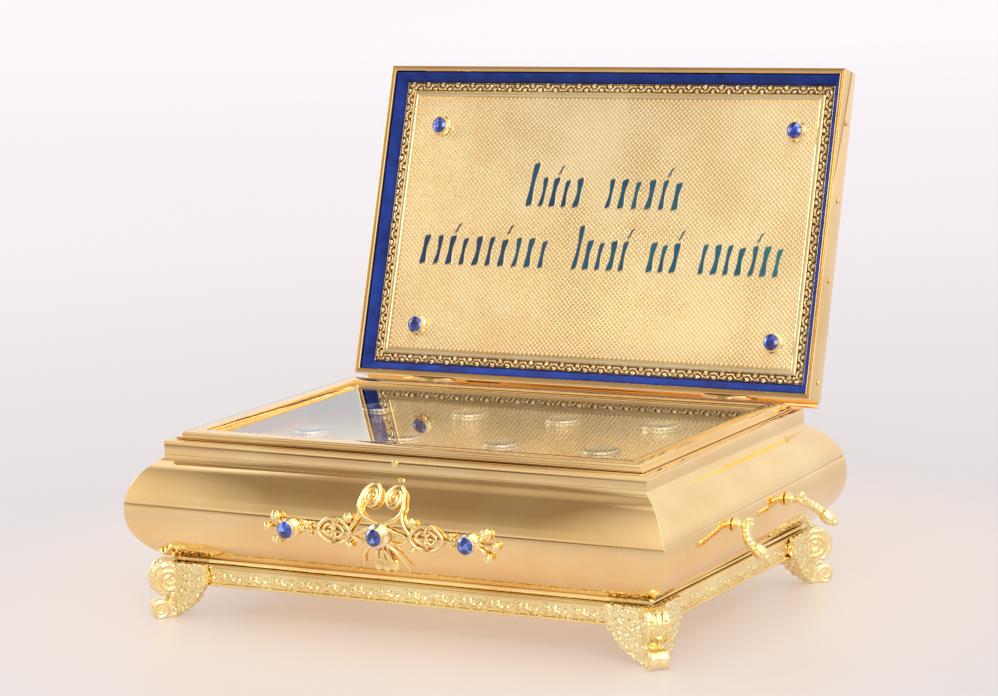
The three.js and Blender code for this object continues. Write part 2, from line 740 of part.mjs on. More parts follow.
function strokePlaces() {
  const places = [];
  for (const { y, words } of STROKE_ROWS) {
    for (const [start, end, firstHeight] of words) {
      const count = Math.round((end - start) / STROKE_PITCH);
      for (let i = 0; i < count; i += 1) {
        const x = start + ((i + 0.5) * (end - start)) / count;
        places.push({ x, y, height: i === 0 ? firstHeight : STROKE_HEIGHT });
      }
    }
  }
  return places;
}

// The panel's face looks down when the lid is closed. A border, a fillet and the strokes stand on it.
function lidPanel() {
  const inset = LID_WALL + VELVET_WIDTH + 0.2;
  const [x, y] = [LID_HALF_X - inset, LID_HALF_Y - inset];
  const faceZ = LID_RIM_Z + PANEL_DEPTH;
  const pieces = [slab(-x, x, -y, y, faceZ, faceZ + PANEL_THICK)];
  pieces.push(frameRing([
    [-BORDER_WIDTH, faceZ + 0.3],
    [-BORDER_WIDTH, faceZ - 0.3],
    [-BORDER_WIDTH - 0.5, faceZ - 0.6],
    [-BORDER_WIDTH - FILLET_WIDTH + 0.5, faceZ - 0.6],
    [-BORDER_WIDTH - FILLET_WIDTH, faceZ - 0.3],
    [-BORDER_WIDTH - FILLET_WIDTH, faceZ + 0.3],
  ], x, y));
  for (const stroke of strokePlaces()) {
    const bar = slab(-STROKE_WIDTH / 2, STROKE_WIDTH / 2, -stroke.height, 0, -0.4, 0.3);
    const slant = new THREE.Matrix4().makeShear(0, 0, -STROKE_SLANT, 0, 0, 0);
    pieces.push(bar.applyMatrix4(slant).translate(stroke.x, stroke.y, faceZ));
  }
  return join(pieces);
}

function lidStonePlaces() {
  const places = [];
  for (const up of [-1, 1]) {
    for (const side of [-1, 1]) {
      places.push([side * LID_STONE_X + LID_STONE_SHIFT, -up * LID_STONE_Y + LID_STONE_LOW]);
    }
  }
  return places;
}

// ---- The casket ----

const names = new Set();

function piece(parent, name, geometry, material, place = [0, 0, 0]) {
  if (names.has(name)) throw new Error(`two pieces are called ${name}`);
  names.add(name);
  const mesh = new THREE.Mesh(geometry, material);
  mesh.name = name;
  mesh.position.set(...place);
  parent.add(mesh);
  return mesh;
}

const group = new THREE.Group();
const casket = new THREE.Group();
casket.position.y = SHIFT_Y;
group.add(casket);

piece(casket, 'body_shell', bodyShell(), POLISHED);
piece(casket, 'base_moulding', baseMoulding(), CAST);
piece(casket, 'base_plinth', basePlinth(), CHASED);

const CORNERS = [
  ['back_right', 1, 1, 0],
  ['back_left', -1, 1, 90],
  ['front_left', -1, -1, 180],
  ['front_right', 1, -1, 270],
];
for (const [where, sx, sy, turn] of CORNERS) {
  const foot = piece(casket, `foot_${where}`, footGeometry(), CAST, [sx * HALF_X, sy * HALF_Y, 0]);
  foot.rotation.z = turn * DEG;
}

piece(casket, 'glass_frame', glassFrame(), POLISHED);
piece(casket, 'glass_pane', glassPane(), GLASS);
piece(casket, 'relic_plate', relicPlate(), CHASED);
capsulePlaces().forEach(([x, y], i) => {
  piece(casket, `relic_glass_${i + 1}`, capsuleGlass(), GLASS, [x, y, PLATE_TOP_Z]);
});

piece(casket, 'front_ornament', frontOrnament(), CAST);
const bezelFootY = -(HALF_Y + BELLY_REACH + 2 * GAP + ORNAMENT_THICK);
const frontHeight = FRONT_REACH + bezelFootY;
for (const [where, side, footRadius] of [['left', -1, 5.4], ['middle', 0, 6.4], ['right', 1, 5.4]]) {
  const x = side * FRONT_STONE_X;
  const cup = bezel(footRadius, frontHeight).rotateX(Math.PI / 2);
  piece(casket, `front_bezel_${where}`, cup, CAST, [x, bezelFootY, FRONT_STONE_Z]);
  const gem = stone().rotateX(Math.PI / 2);
  piece(casket, `front_stone_${where}`, gem, STONE, [x, -FRONT_REACH, FRONT_STONE_Z]);
}

for (const [end, sx] of [['right', 1], ['left', -1]]) {
  for (const [where, sy] of [['front', -1], ['back', 1]]) {
    const seat = [sx * (HALF_X + BELLY_REACH), sy * ARM_Y, BELLY_Z];
    piece(casket, `arm_${end}_${where}`, armAt(sx, sy), CAST, seat);
  }
}

const rivet = turned([[0, 0], [1.9, 0], [1.4, 0.9], [0, 1.1]], 8).rotateX(Math.PI / 2);
piece(casket, 'rim_rivet', rivet, POLISHED, [0, -HALF_Y - GAP, (RIM_Z + BAND_FOOT_Z) / 2 + 0.8]);

// The lid turns about its hinge axis from the closed pose, where its pieces are drawn.
const turningLid = new THREE.Group();
turningLid.position.set(0, AXIS_Y, AXIS_Z);
turningLid.rotation.x = -LID_OPEN;
casket.add(turningLid);
const lid = new THREE.Group();
lid.position.set(0, -AXIS_Y, -AXIS_Z);
turningLid.add(lid);

piece(lid, 'lid_shell', lidShell(), POLISHED);
piece(lid, 'lid_velvet', lidVelvet(), VELVET);
piece(lid, 'lid_panel', lidPanel(), CHASED);

const lidBezelZ = LID_RIM_Z + PANEL_DEPTH - GAP;
lidStonePlaces().forEach(([x, y], i) => {
  piece(lid, `lid_bezel_${i + 1}`, bezel(5.9, LID_BEZEL_HEIGHT).rotateX(Math.PI), CAST, [x, y, lidBezelZ]);
  const gem = stone().rotateX(Math.PI);
  piece(lid, `lid_stone_${i + 1}`, gem, STONE, [x, y, lidBezelZ - LID_BEZEL_HEIGHT]);
});

for (const [end, sx] of [['left', -1], ['right', 1]]) {
  piece(casket, `hinge_leaf_body_${end}`, bodyLeaf(), POLISHED, [sx * HINGE_X, 0, 0]);
  const pin = rodAlongX(PIN_RADIUS, -HINGE_LENGTH / 2 - 0.5, HINGE_LENGTH / 2 + 0.5, 0, 0, 8);
  piece(casket, `hinge_pin_${end}`, pin, POLISHED, [sx * HINGE_X, AXIS_Y, AXIS_Z]);
  piece(lid, `hinge_leaf_lid_${end}`, lidLeaf(), POLISHED, [sx * HINGE_X, 0, 0]);
}

// Four small screws in each end wall of the lid: distance in from the hinge side.
[10.6, 68.6, 114.5, 159.3].forEach((fromHinge, i) => {
  for (const [end, sx] of [['left', -1], ['right', 1]]) {
    const head = turned([[0, 0], [1.7, 0], [1.4, 0.7], [0, 0.7]], 8).rotateY((sx * Math.PI) / 2);
    const place = [sx * (LID_HALF_X + GAP), LID_HALF_Y - fromHinge, LID_RIM_Z + 9];
    piece(lid, `lid_screw_${end}_${i + 1}`, head, POLISHED, place);
  }
});

export default group;
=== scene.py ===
import json
from math import atan2, cos, dist, hypot, pi, radians, sin, sqrt

import bmesh
import bpy
from mathutils import Matrix, Vector, noise


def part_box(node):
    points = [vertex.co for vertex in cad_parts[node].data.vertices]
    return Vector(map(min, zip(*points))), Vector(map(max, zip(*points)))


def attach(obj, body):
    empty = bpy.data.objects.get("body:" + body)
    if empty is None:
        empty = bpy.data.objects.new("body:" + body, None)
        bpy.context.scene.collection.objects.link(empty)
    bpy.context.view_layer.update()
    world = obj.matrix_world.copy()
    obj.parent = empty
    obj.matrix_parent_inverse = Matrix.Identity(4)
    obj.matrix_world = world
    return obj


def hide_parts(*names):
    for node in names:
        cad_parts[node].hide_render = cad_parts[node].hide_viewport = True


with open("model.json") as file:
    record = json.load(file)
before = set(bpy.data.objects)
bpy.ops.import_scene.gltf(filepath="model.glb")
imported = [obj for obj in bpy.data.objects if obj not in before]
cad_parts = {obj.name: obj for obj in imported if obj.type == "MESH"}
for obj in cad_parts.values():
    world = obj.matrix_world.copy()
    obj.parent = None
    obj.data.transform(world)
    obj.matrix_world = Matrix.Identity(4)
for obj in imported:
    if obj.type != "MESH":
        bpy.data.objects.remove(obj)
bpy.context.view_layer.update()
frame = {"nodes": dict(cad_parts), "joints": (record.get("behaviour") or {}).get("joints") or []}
scene = bpy.context.scene


def turned(degrees, axis):
    return Matrix.Rotation(radians(degrees), 4, axis)


def placed(x, y, z, degrees, axis):
    return Matrix.Translation((x, y, z)) @ turned(degrees, axis)


# Every shape below is drawn in millimetres about the middle of the rim, with the floor at z = 0 and
# the lid closed. BODY and LID carry it into the row frame.
MM = 0.001
body_low, body_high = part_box("body_shell")
hinge = frame["joints"][0]
pivot = Vector(hinge["pos_m"])
BODY = Matrix.Translation((0, (body_low.y + body_high.y) / 2, 0)) @ Matrix.Diagonal((MM, MM, MM, 1))
LID = Matrix.Translation(pivot) @ turned(-hinge["range_deg"][1], "X")
LID = LID @ Matrix.Translation(-pivot) @ BODY

# The source's own measures: gaps, half widths, heights above the floor and the hinge line.
GAP = 0.3
HALF_X = 150
HALF_Y = 95
RIM_Z = 99
BAND_FOOT_Z = 91.2
BELLY_Z = 62
BELLY_REACH = 17.4
BODY_FOOT_Z = 34.4
BODY_WALL = 1.6
LID_HALF_X = 150.2
LID_HALF_Y = 94.5
LID_RIM_Z = RIM_Z + GAP
PANEL_FACE_Z = LID_RIM_Z + 7.4
PANEL_X = LID_HALF_X - 8.5
PANEL_Y = LID_HALF_Y - 8.5
FIELD_X = PANEL_X - 8.5
FIELD_Y = PANEL_Y - 8.5
AXIS_Y = 99.7
AXIS_Z = 98.1

# ---- Camera, floor and light ----

CAMERA_PLACE = (916.17, -1549.91, 447.64)
CAMERA_LEFT, CAMERA_DOWN, CAMERA_ROLL = 30.28, 9.65, -2.49
CAMERA_LENS = 119.43


def add_camera():
    camera = bpy.data.objects.new("camera", bpy.data.cameras.new("camera"))
    camera.data.lens = CAMERA_LENS
    camera.data.clip_start, camera.data.clip_end = 0.05, 60
    turn = turned(CAMERA_LEFT, "Z") @ turned(90 - CAMERA_DOWN, "X") @ turned(CAMERA_ROLL, "Z")
    camera.matrix_world = Matrix.Translation(BODY @ Vector(CAMERA_PLACE)) @ turn
    scene.collection.objects.link(camera)
    scene.camera = camera


def add_softbox(name, place, aim, size, power, colour, mirrored_in_gold):
    light = bpy.data.lights.new(name, "AREA")
    light.shape = "RECTANGLE"
    light.size, light.size_y = size
    light.energy = power
    light.color = colour
    lamp = bpy.data.objects.new(name, light)
    lamp.location = place
    lamp.rotation_euler = (Vector(aim) - Vector(place)).to_track_quat("-Z", "Y").to_euler()
    lamp.visible_glossy = mirrored_in_gold
    scene.collection.objects.link(lamp)


class Nodes:
    """Short calls for building one node tree; `where` is the coordinates its textures use."""

    def __init__(self, tree, space="Object"):
        self.tree = tree
        tree.nodes.clear()
        self.where = self.add("ShaderNodeTexCoord").outputs[space]

    def add(self, kind, inputs=None, **settings):
        node = self.tree.nodes.new(kind)
        for name, value in settings.items():
            setattr(node, name, value)
        for name, value in (inputs or {}).items():
            if isinstance(value, bpy.types.NodeSocket):
                self.tree.links.new(value, node.inputs[name])
            else:
                node.inputs[name].default_value = value
        return node

    def math(self, operation, a, b=0.0, clamp=False):
        node = self.add("ShaderNodeMath", {0: a, 1: b}, operation=operation, use_clamp=clamp)
        return node.outputs[0]

    def noise(self, scale, detail):
        inputs = {"Vector": self.where, "Scale": scale, "Detail": detail}
        return self.add("ShaderNodeTexNoise", inputs).outputs["Fac"]

    def bump(self, strength, distance, height, over=None):
        inputs = {"Strength": strength, "Distance": distance, "Height": height}
        if over is not None:
            inputs["Normal"] = over
        return self.add("ShaderNodeBump", inputs).outputs[0]

    def surface(self, inputs):
        shader = self.add("ShaderNodeBsdfPrincipled", inputs)
        self.add("ShaderNodeOutputMaterial", {"Surface": shader.outputs[0]})

    def ramp(self, factor, stops):
        node = self.add("ShaderNodeValToRGB", {0: factor})
        elements = node.color_ramp.elements
        while len(elements) < len(stops):
            elements.new(0.5)
        for element, (position, colour) in zip(elements, stops):
            element.position = position
            element.color = (*colour, 1)
        return node.outputs["Color"]

    def mix(self, factor, a, b, blend="MIX"):
        a, b = ((*colour, 1) if isinstance(colour, tuple) else colour for colour in (a, b))
        inputs = {0: factor, 6: a, 7: b}
        return self.add("ShaderNodeMix", inputs, data_type="RGBA", blend_type=blend).outputs[2]


def new_material(name):
    material = bpy.data.materials.new(name)
    material.use_nodes = True
    return material, Nodes(material.node_tree)


def add_world():
    """A pale studio: bright behind, with dark rails, and a dim warm room in front between screens.

    From the camera, the belly's front and the lid's flat panel mirror only directions near
    x = -0.497. The room and the rails stand there, and the screens stand `beside` it.
    """
    world = bpy.data.worlds.new("studio")
    world.use_nodes = True
    scene.world = world
    n = Nodes(world.node_tree, "Generated")
    parts = n.add("ShaderNodeSeparateXYZ", {0: n.where})
    height = parts.outputs["Z"]
    stretched = n.add("ShaderNodeMapping", {"Vector": n.where, "Scale": (0.35, 0.35, 9)})
    streak = n.add("ShaderNodeTexNoise", {
        "Vector": stretched.outputs[0], "Scale": 1.6, "Detail": 3, "Roughness": 0.55,
    }).outputs["Fac"]
    wavering = n.math("ADD", height, n.math("MULTIPLY", n.math("SUBTRACT", streak, 0.5), 0.05))
    room = n.ramp(wavering, [
        (0.0, (0.22, 0.15, 0.09)), (0.014, (0.14, 0.09, 0.05)), (0.035, (0.3, 0.22, 0.15)),
        (0.05, (0.98, 0.92, 0.84)), (0.08, (0.8, 0.74, 0.64)), (0.16, (0.6, 0.53, 0.45)),
        (0.34, (0.56, 0.49, 0.4)), (0.4, (0.46, 0.38, 0.29)), (0.46, (0.42, 0.35, 0.26)),
        (0.72, (0.33, 0.255, 0.18)), (0.93, (0.33, 0.26, 0.19)), (0.97, (1.5, 1.45, 1.4)),
        (1.0, (1.7, 1.65, 1.6)),
    ])
    bright = n.ramp(height, [
        (0.0, (0.5, 0.45, 0.42)), (0.014, (0.86, 0.85, 0.87)), (0.2, (0.98, 0.96, 0.97)),
        (0.6, (0.96, 0.95, 0.97)), (0.9, (1.1, 1.08, 1.05)), (1.0, (1.7, 1.65, 1.6)),
    ])
    screens = n.ramp(height, [
        (0.0, (0.5, 0.41, 0.32)), (0.1, (1.0, 0.93, 0.82)), (0.5, (1.35, 1.28, 1.14)),
        (1.0, (1.7, 1.65, 1.6)),
    ])
    aside = n.math("ABSOLUTE", n.math("ADD", parts.outputs["X"], 0.497))
    beside = n.math("MULTIPLY", n.math("SUBTRACT", aside, 0.13), 4.5, clamp=True)
    front = n.mix(beside, room, screens)
    behind = n.math("SUBTRACT", n.math("MULTIPLY", parts.outputs["Y"], 5.0), 0.2, clamp=True)
    rails = n.ramp(height, [
        (0.5, (1, 1, 1)), (0.58, (0.2, 0.14, 0.1)), (0.66, (0.2, 0.14, 0.1)),
        (0.7, (1.1, 1.1, 1.1)), (0.76, (1.1, 1.1, 1.1)), (0.8, (0.5, 0.42, 0.34)),
        (1.0, (0.6, 0.52, 0.44)),
    ])
    rails = n.mix(beside, rails, (1, 1, 1))
    colour = n.mix(behind, front, n.mix(1.0, bright, rails, "MULTIPLY"))
    shade = n.add("ShaderNodeBackground", {"Color": colour, "Strength": 1.0})
    n.add("ShaderNodeOutputWorld", {"Surface": shade.outputs[0]})


def add_floor():
    """Pale paper that glows a little as painted light to lift its shade, dims in front for a dark
    reflection in the band, and glows warm close to the casket as painted bounce from the gold.
    """
    points = [(x, y, 0) for y in range(-16, 17, 4) for x in (-16, -5, 5, 16)]
    mesh = bpy.data.meshes.new("floor")
    mesh.from_pydata(points, [], grid_faces(9, 4, False, False))
    mesh.shade_smooth()
    floor = bpy.data.objects.new("floor", mesh)
    scene.collection.objects.link(floor)
    material, n = new_material("paper_floor")
    colour = n.ramp(n.noise(0.7, 2), [(0.3, (0.3, 0.29, 0.295)), (0.7, (0.315, 0.305, 0.31))])
    parts = n.add("ShaderNodeSeparateXYZ", {0: n.where})
    away = n.math("SUBTRACT", parts.outputs["Y"], n.math("MULTIPLY", parts.outputs["X"], 0.35))
    away = n.math("ADD", n.math("MULTIPLY", away, 0.2), 0.2)
    # Painted light: the floor's glow is dim just in front, for a dark reflection in the band, and
    # brighter far off.
    painted_floor_light = n.ramp(away, [
        (0.03, (0.15, 0.135, 0.13)), (0.14, (0.32, 0.3, 0.315)), (0.25, (0.3, 0.275, 0.285)),
        (0.5, (0.42, 0.4, 0.43)), (1.0, (0.52, 0.5, 0.54)),
    ])
    reach = n.add("ShaderNodeVectorMath", {0: n.where}, operation="LENGTH").outputs["Value"]
    # Painted bounce: a warm glow close to the casket stands for light thrown back by the gold.
    painted_bounce_share = n.math("SUBTRACT", 1.0, n.math("MULTIPLY", reach, 2.6), clamp=True)
    painted_floor_light = n.mix(painted_bounce_share, painted_floor_light, (0.56, 0.41, 0.29))
    n.surface({
        "Base Color": colour, "Roughness": 0.45, "Emission Color": painted_floor_light, "Emission Strength": 1.0,
    })
    mesh.materials.append(material)


# ---- Materials ----

CAST_GOLD = (1.0, 0.85, 0.46)


def gold(name, colour, roughness, grain, tint=0.06, wave=0.0, cells=0.0):
    """Gilding: colour and roughness drift a little, and grain, waves and cells stir the shine."""
    material, n = new_material(name)
    drift = n.noise(26, 4)
    darker = [c * (1 - tint * (1 + i)) for i, c in enumerate(colour)]
    base = n.ramp(drift, [(0.35, darker), (0.65, colour)])
    rough = n.math("ADD", n.math("MULTIPLY", drift, roughness * 0.5), roughness * 0.75)
    bump = n.bump(grain, 0.0001, n.noise(1500, 2))
    if wave:
        bump = n.bump(wave, 0.001, n.noise(7, 1), bump)
    if cells:
        stamped = n.add("ShaderNodeTexVoronoi", {"Vector": n.where, "Scale": cells})
        bump = n.bump(0.35, 0.0006, stamped.outputs["Distance"], bump)
    n.surface({"Base Color": base, "Roughness": rough, "Metallic": 1.0, "Normal": bump})
    return material


def velvet():
    material, n = new_material("blue_velvet")
    colour = n.ramp(n.noise(90, 5), [(0.3, (0.003, 0.018, 0.17)), (0.7, (0.008, 0.045, 0.36))])
    n.surface({
        "Base Color": colour, "Roughness": 0.9, "Sheen Weight": 0.16, "Sheen Roughness": 0.35,
        "Sheen Tint": (0.12, 0.3, 1.0, 1), "Normal": n.bump(0.6, 0.0002, n.noise(2600, 2)),
    })
    return material


def clear_glass():
    material, n = new_material("clear_glass")
    n.surface({
        "Base Color": (0.98, 0.99, 1.0, 1), "Roughness": n.math("MULTIPLY", n.noise(9, 3), 0.012),
        "IOR": 1.52, "Transmission Weight": 1.0,
    })
    return material


def blue_stone():
    """Facets of many depths of blue from a cell pattern; its pale cells are painted glints, its
    darkest painted shade.
    """
    material, n = new_material("blue_stone")
    cells = n.add("ShaderNodeTexVoronoi", {"Vector": n.where, "Scale": 420}).outputs["Color"]
    depth = n.add("ShaderNodeSeparateColor", {0: cells}).outputs[0]
    # Painted glints and shade: pale and dark cells scattered over the facets, besides the stone's
    # own blue.
    colour = n.ramp(depth, [
        (0.0, (0.001, 0.006, 0.07)), (0.45, (0.003, 0.02, 0.26)), (0.75, (0.012, 0.07, 0.6)),
        (1.0, (0.25, 0.45, 1.0)),
    ])
    n.surface({
        "Base Color": colour, "Roughness": 0.05, "IOR": 1.77, "Metallic": 0.25,
        "Coat Weight": 1.0, "Coat Roughness": 0.02,
    })
    return material


def enamel():
    """The strokes' enamel, which passes from navy to teal along the panel."""
    material, n = new_material("teal_enamel")
    along = n.add("ShaderNodeSeparateXYZ", {0: n.where})
    place = n.math("ADD", n.math("MULTIPLY", along.outputs["X"], 2.2), n.noise(38, 2))
    colour = n.ramp(place, [
        (0.25, (0.006, 0.035, 0.1)), (0.6, (0.008, 0.09, 0.15)), (0.95, (0.015, 0.17, 0.19)),
    ])
    n.surface({
        "Base Color": colour, "Roughness": 0.35, "Coat Weight": 0.15, "Coat Roughness": 0.1,
    })
    return material


POLISHED = gold("polished_gold", (1.0, 0.745, 0.39), 0.035, 0.03, wave=0.06)
CAST = gold("cast_gold", CAST_GOLD, 0.17, 0.2, 0.08)
CHASED = gold("chased_gold", (1.0, 0.87, 0.58), 0.27, 0.2)
# A dark sheet under the lid's lace border: painted shade in its openwork.
PAINTED_SHADE_GOLD = gold("painted_shade_gold", (0.17, 0.09, 0.04), 0.4, 0.2, 0.1)
# The net's ground: darker than the lozenges, as painted shade in the grooves between them.
NET_BED_PAINTED_SHADE = gold("net_bed_painted_shade_gold", (0.8, 0.57, 0.27), 0.35, 0.2, 0.1)
BEZEL = gold("bezel_gold", (1.0, 0.86, 0.6), 0.1, 0.08, 0.04)
PLATE = gold("plate_gold", (1.0, 0.76, 0.32), 0.12, 0.1, cells=380)
FOOT = gold("foot_gold", (1.0, 0.88, 0.51), 0.15, 0.2)
SILVER = gold("relic_silver", (0.8, 0.74, 0.6), 0.2, 0.1)
SMOOTH_CAST = gold("smooth_cast_gold", CAST_GOLD, 0.1, 0.08, 0.05)
VELVET = velvet()
GLASS = clear_glass()
STONE = blue_stone()
ENAMEL = enamel()

# ---- Shape helpers: each shape is (points, faces) in millimetres ----


def merged(shapes):
    points, faces = [], []
    for more_points, more_faces in shapes:
        start = len(points)
        points.extend(more_points)
        faces.extend([start + i for i in face] for face in more_faces)
    return points, faces


def moved(shape, matrix):
    return [matrix @ p for p in shape[0]], shape[1]


def shifted(shape, x, y, z):
    return moved(shape, Matrix.Translation((x, y, z)))


def shape_of(work):
    """The points and faces of a bmesh, which is freed."""
    work.verts.index_update()
    shape = [v.co.copy() for v in work.verts], [[v.index for v in f.verts] for f in work.faces]
    work.free()
    return shape


def add_piece(name, shape, material, place, stands_for=(), sharp=30, weld=0.0):
    """Makes the piece in the row frame, riding on the body that place belongs to."""
    points, faces = shape
    work = bmesh.new()
    corners = [work.verts.new(place @ Vector(p)) for p in points]
    for face in faces:
        try:
            work.faces.new([corners[i] for i in face])
        except ValueError:
            pass
    if weld:
        bmesh.ops.remove_doubles(work, verts=work.verts, dist=weld * MM)
    bmesh.ops.recalc_face_normals(work, faces=work.faces)
    mesh = bpy.data.meshes.new(name)
    work.to_mesh(mesh)
    work.free()
    mesh.shade_smooth()
    mesh.set_sharp_from_angle(angle=radians(sharp))
    mesh.materials.append(material)
    obj = bpy.data.objects.new(name, mesh)
    scene.collection.objects.link(obj)
    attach(obj, "lid" if place is LID else "casket")
    if stands_for:
        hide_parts(*stands_for)
    return obj


def grid_faces(rows, columns, wrap_rows, wrap_columns):
    faces = []
    for i in range(rows if wrap_rows else rows - 1):
        for j in range(columns if wrap_columns else columns - 1):
            k, m = (i + 1) % rows, (j + 1) % columns
            faces.append([i * columns + j, i * columns + m, k * columns + m, k * columns + j])
    return faces


def bar_faces(rows, columns):
    """The skin of a bar made of rings of points, with both ends closed."""
    foot, top = range(columns)[::-1], range((rows - 1) * columns, rows * columns)
    return [*grid_faces(rows, columns, False, True), list(foot), list(top)]


def arc(x, z, radius, start, step, count):
    angles = [radians(start + i * step) for i in range(count)]
    return [(x + radius * cos(angle), z + radius * sin(angle)) for angle in angles]


def rounded_ring(section, half_x, half_y, radius=0.35, steps=3):
    """A closed section of (reach, z) points carried round a rectangle with rounded corners."""
    points, rows = [], 0
    for sx, sy, start in ((1, 1, 0), (-1, 1, 90), (-1, -1, 180), (1, -1, 270)):
        for i in range(steps + 1):
            angle = radians(start + 90 * i / steps)
            rows += 1
            for reach, z in section:
                x = sx * (half_x + reach - radius) + radius * cos(angle)
                y = sy * (half_y + reach - radius) + radius * sin(angle)
                points.append(Vector((x, y, z)))
    return points, grid_faces(rows, len(section), True, True)


def relief_ring(front, back, half_x, half_y, step, height):
    """Four mitred strips; height(along, across, half) lifts their front but not their back."""
    across = [0.0]
    for a, b in zip(front, front[1:]):
        across.append(across[-1] + dist(a, b))
    outward = []
    for j in range(len(front)):
        a, b = front[max(j - 1, 0)], front[min(j + 1, len(front) - 1)]
        run = Vector((b[0] - a[0], b[1] - a[1])).normalized()
        outward.append((run.y, -run.x))
    strips = []
    for side in range(4):
        half, away = (half_y, half_x) if side % 2 else (half_x, half_y)
        count = max(2, round(2 * half / step))
        spin = turned(90 * side, "Z")
        points = []
        for i in range(count + 1):
            share = 2 * i / count - 1
            for j, (reach, z) in enumerate([*front, *back]):
                along = share * (half + reach)
                lift = 0.0
                if j < len(front) and 0 < i < count:
                    lift = height(along, across[j], half)
                    reach += lift * outward[j][0]
                    z += lift * outward[j][1]
                points.append(spin @ Vector((along, away + reach, z)))
        strips.append((points, grid_faces(count + 1, len(front) + len(back), False, True)))
    return merged(strips)


def lathe(profile, sides, ripple=None):
    """A solid turned about +Z. ripple(angle, index) scales the radius."""
    points = []
    for k in range(sides):
        angle = 2 * pi * k / sides
        for index, (r, z) in enumerate(profile):
            scale = ripple(angle, index) if ripple else 1
            points.append(Vector((r * scale * cos(angle), r * scale * sin(angle), z)))
    return points, grid_faces(sides, len(profile), True, False)


def spline(points, per=8, closed=False):
    """Catmull-Rom through the points."""
    count = len(points)
    out = []
    spans = count if closed else count - 1
    for i in range(spans):
        if closed:
            a, b, c, d = (points[(i + k) % count] for k in (-1, 0, 1, 2))
        else:
            b, c = points[i], points[i + 1]
            a = points[i - 1] if i else b + (b - c)
            d = points[i + 2] if i + 2 < count else c + (c - b)
        for k in range(per):
            t = k / per
            out.append(0.5 * ((2 * b) + (c - a) * t + (2 * a - 5 * b + 4 * c - d) * t * t
                              + (3 * b - a - 3 * c + d) * t * t * t))
    if not closed:
        out.append(points[-1].copy())
    return out


def tube(path, radius_at, sides=10, closed=False, flat=1.0, up=None):
    """A round or flattened bar along a path. flat squeezes it along `up`."""
    count = len(path)
    points = []
    normal = None
    for i in range(count):
        if closed:
            ahead = (path[(i + 1) % count] - path[i - 1]).normalized()
        else:
            ahead = (path[min(i + 1, count - 1)] - path[max(i - 1, 0)]).normalized()
        if up is not None:
            normal = up
        elif normal is None:
            normal = Vector((0.31, 0.52, 0.79))
        normal = (normal - ahead * normal.dot(ahead)).normalized()
        side = ahead.cross(normal)
        r = radius_at(i / (count if closed else count - 1))
        for j in range(sides):
            angle = 2 * pi * j / sides
            points.append(path[i] + side * (r * cos(angle)) + normal * (r * flat * sin(angle)))
    return points, grid_faces(count, sides, True, True) if closed else bar_faces(count, sides)


def ball(centre, radii, turn=None, rows=8, columns=12, shape=None):
    """An ellipsoid; shape(theta, phi) scales the radius for petals and flutes."""
    points = [Vector((0, 0, 1)), Vector((0, 0, -1))]
    for i in range(1, rows):
        theta = pi * i / rows
        for j in range(columns):
            phi = 2 * pi * j / columns
            scale = shape(theta, phi) if shape else 1
            points.append(Vector((
                scale * sin(theta) * cos(phi),
                scale * sin(theta) * sin(phi),
                cos(theta),
            )))
    faces = []
    for j in range(columns):
        k = (j + 1) % columns
        faces.append([0, 2 + j, 2 + k])
        last = 2 + (rows - 2) * columns
        faces.append([1, last + k, last + j])
        for i in range(rows - 2):
            a = 2 + i * columns
            faces.append([a + j, a + columns + j, a + columns + k, a + k])
    turn = turn.to_4x4() if turn else Matrix.Identity(4)
    return moved((points, faces), Matrix.Translation(centre) @ turn @ Matrix.Diagonal((*radii, 1)))


def box(low, high, bevel=0.25):
    """A block with bevelled edges."""
    work = bmesh.new()
    bmesh.ops.create_cube(work, size=1)
    for v in work.verts:
        v.co = Vector(low[k] + (v.co[k] + 0.5) * (high[k] - low[k]) for k in range(3))
    bmesh.ops.bevel(
        work, geom=list(work.edges), offset=bevel, segments=2, affect="EDGES", profile=0.5)
    return shape_of(work)


# ---- The bombe outline ----


def bezier(a, b, c, d, count):
    out = []
    for i in range(count + 1):
        t = i / count
        s = 1 - t
        out.append(tuple(
            s * s * s * a[k] + 3 * s * s * t * b[k] + 3 * s * t * t * c[k] + t * t * t * d[k]
            for k in range(2)
        ))
    return out


# The cove under the band, the shoulder and the belly, as (reach, z) from the top down.
OUTLINE = [
    *bezier((0, BAND_FOOT_Z), (0.5, 88.6), (2.6, 88), (6, 85.6), 10),
    *bezier((6, 85.6), (12, 81.2), (BELLY_REACH, 72), (BELLY_REACH, BELLY_Z), 22)[1:],
    *bezier((BELLY_REACH, BELLY_Z), (BELLY_REACH, 50), (12.5, 42.5), (2, BODY_FOOT_Z), 26)[1:],
]


def belly_at(z):
    """The outline's reach at z, and its normal there."""
    for (r0, z0), (r1, z1) in zip(OUTLINE, OUTLINE[1:]):
        if z1 <= z <= z0:
            t = (z0 - z) / (z0 - z1)
            run = Vector((r1 - r0, z1 - z0)).normalized()
            return r0 + t * (r1 - r0), Vector((-run.y, run.x))
    return OUTLINE[-1][0], Vector((1, 0))


def over_front(x, z, lift):
    """A point in front of the front face, lifted off the belly along its normal."""
    reach, out = belly_at(z)
    return Vector((x, -(HALF_Y + reach + out.x * lift), z + out.y * lift))


# ---- Body, glass frame, neck and plinth ----


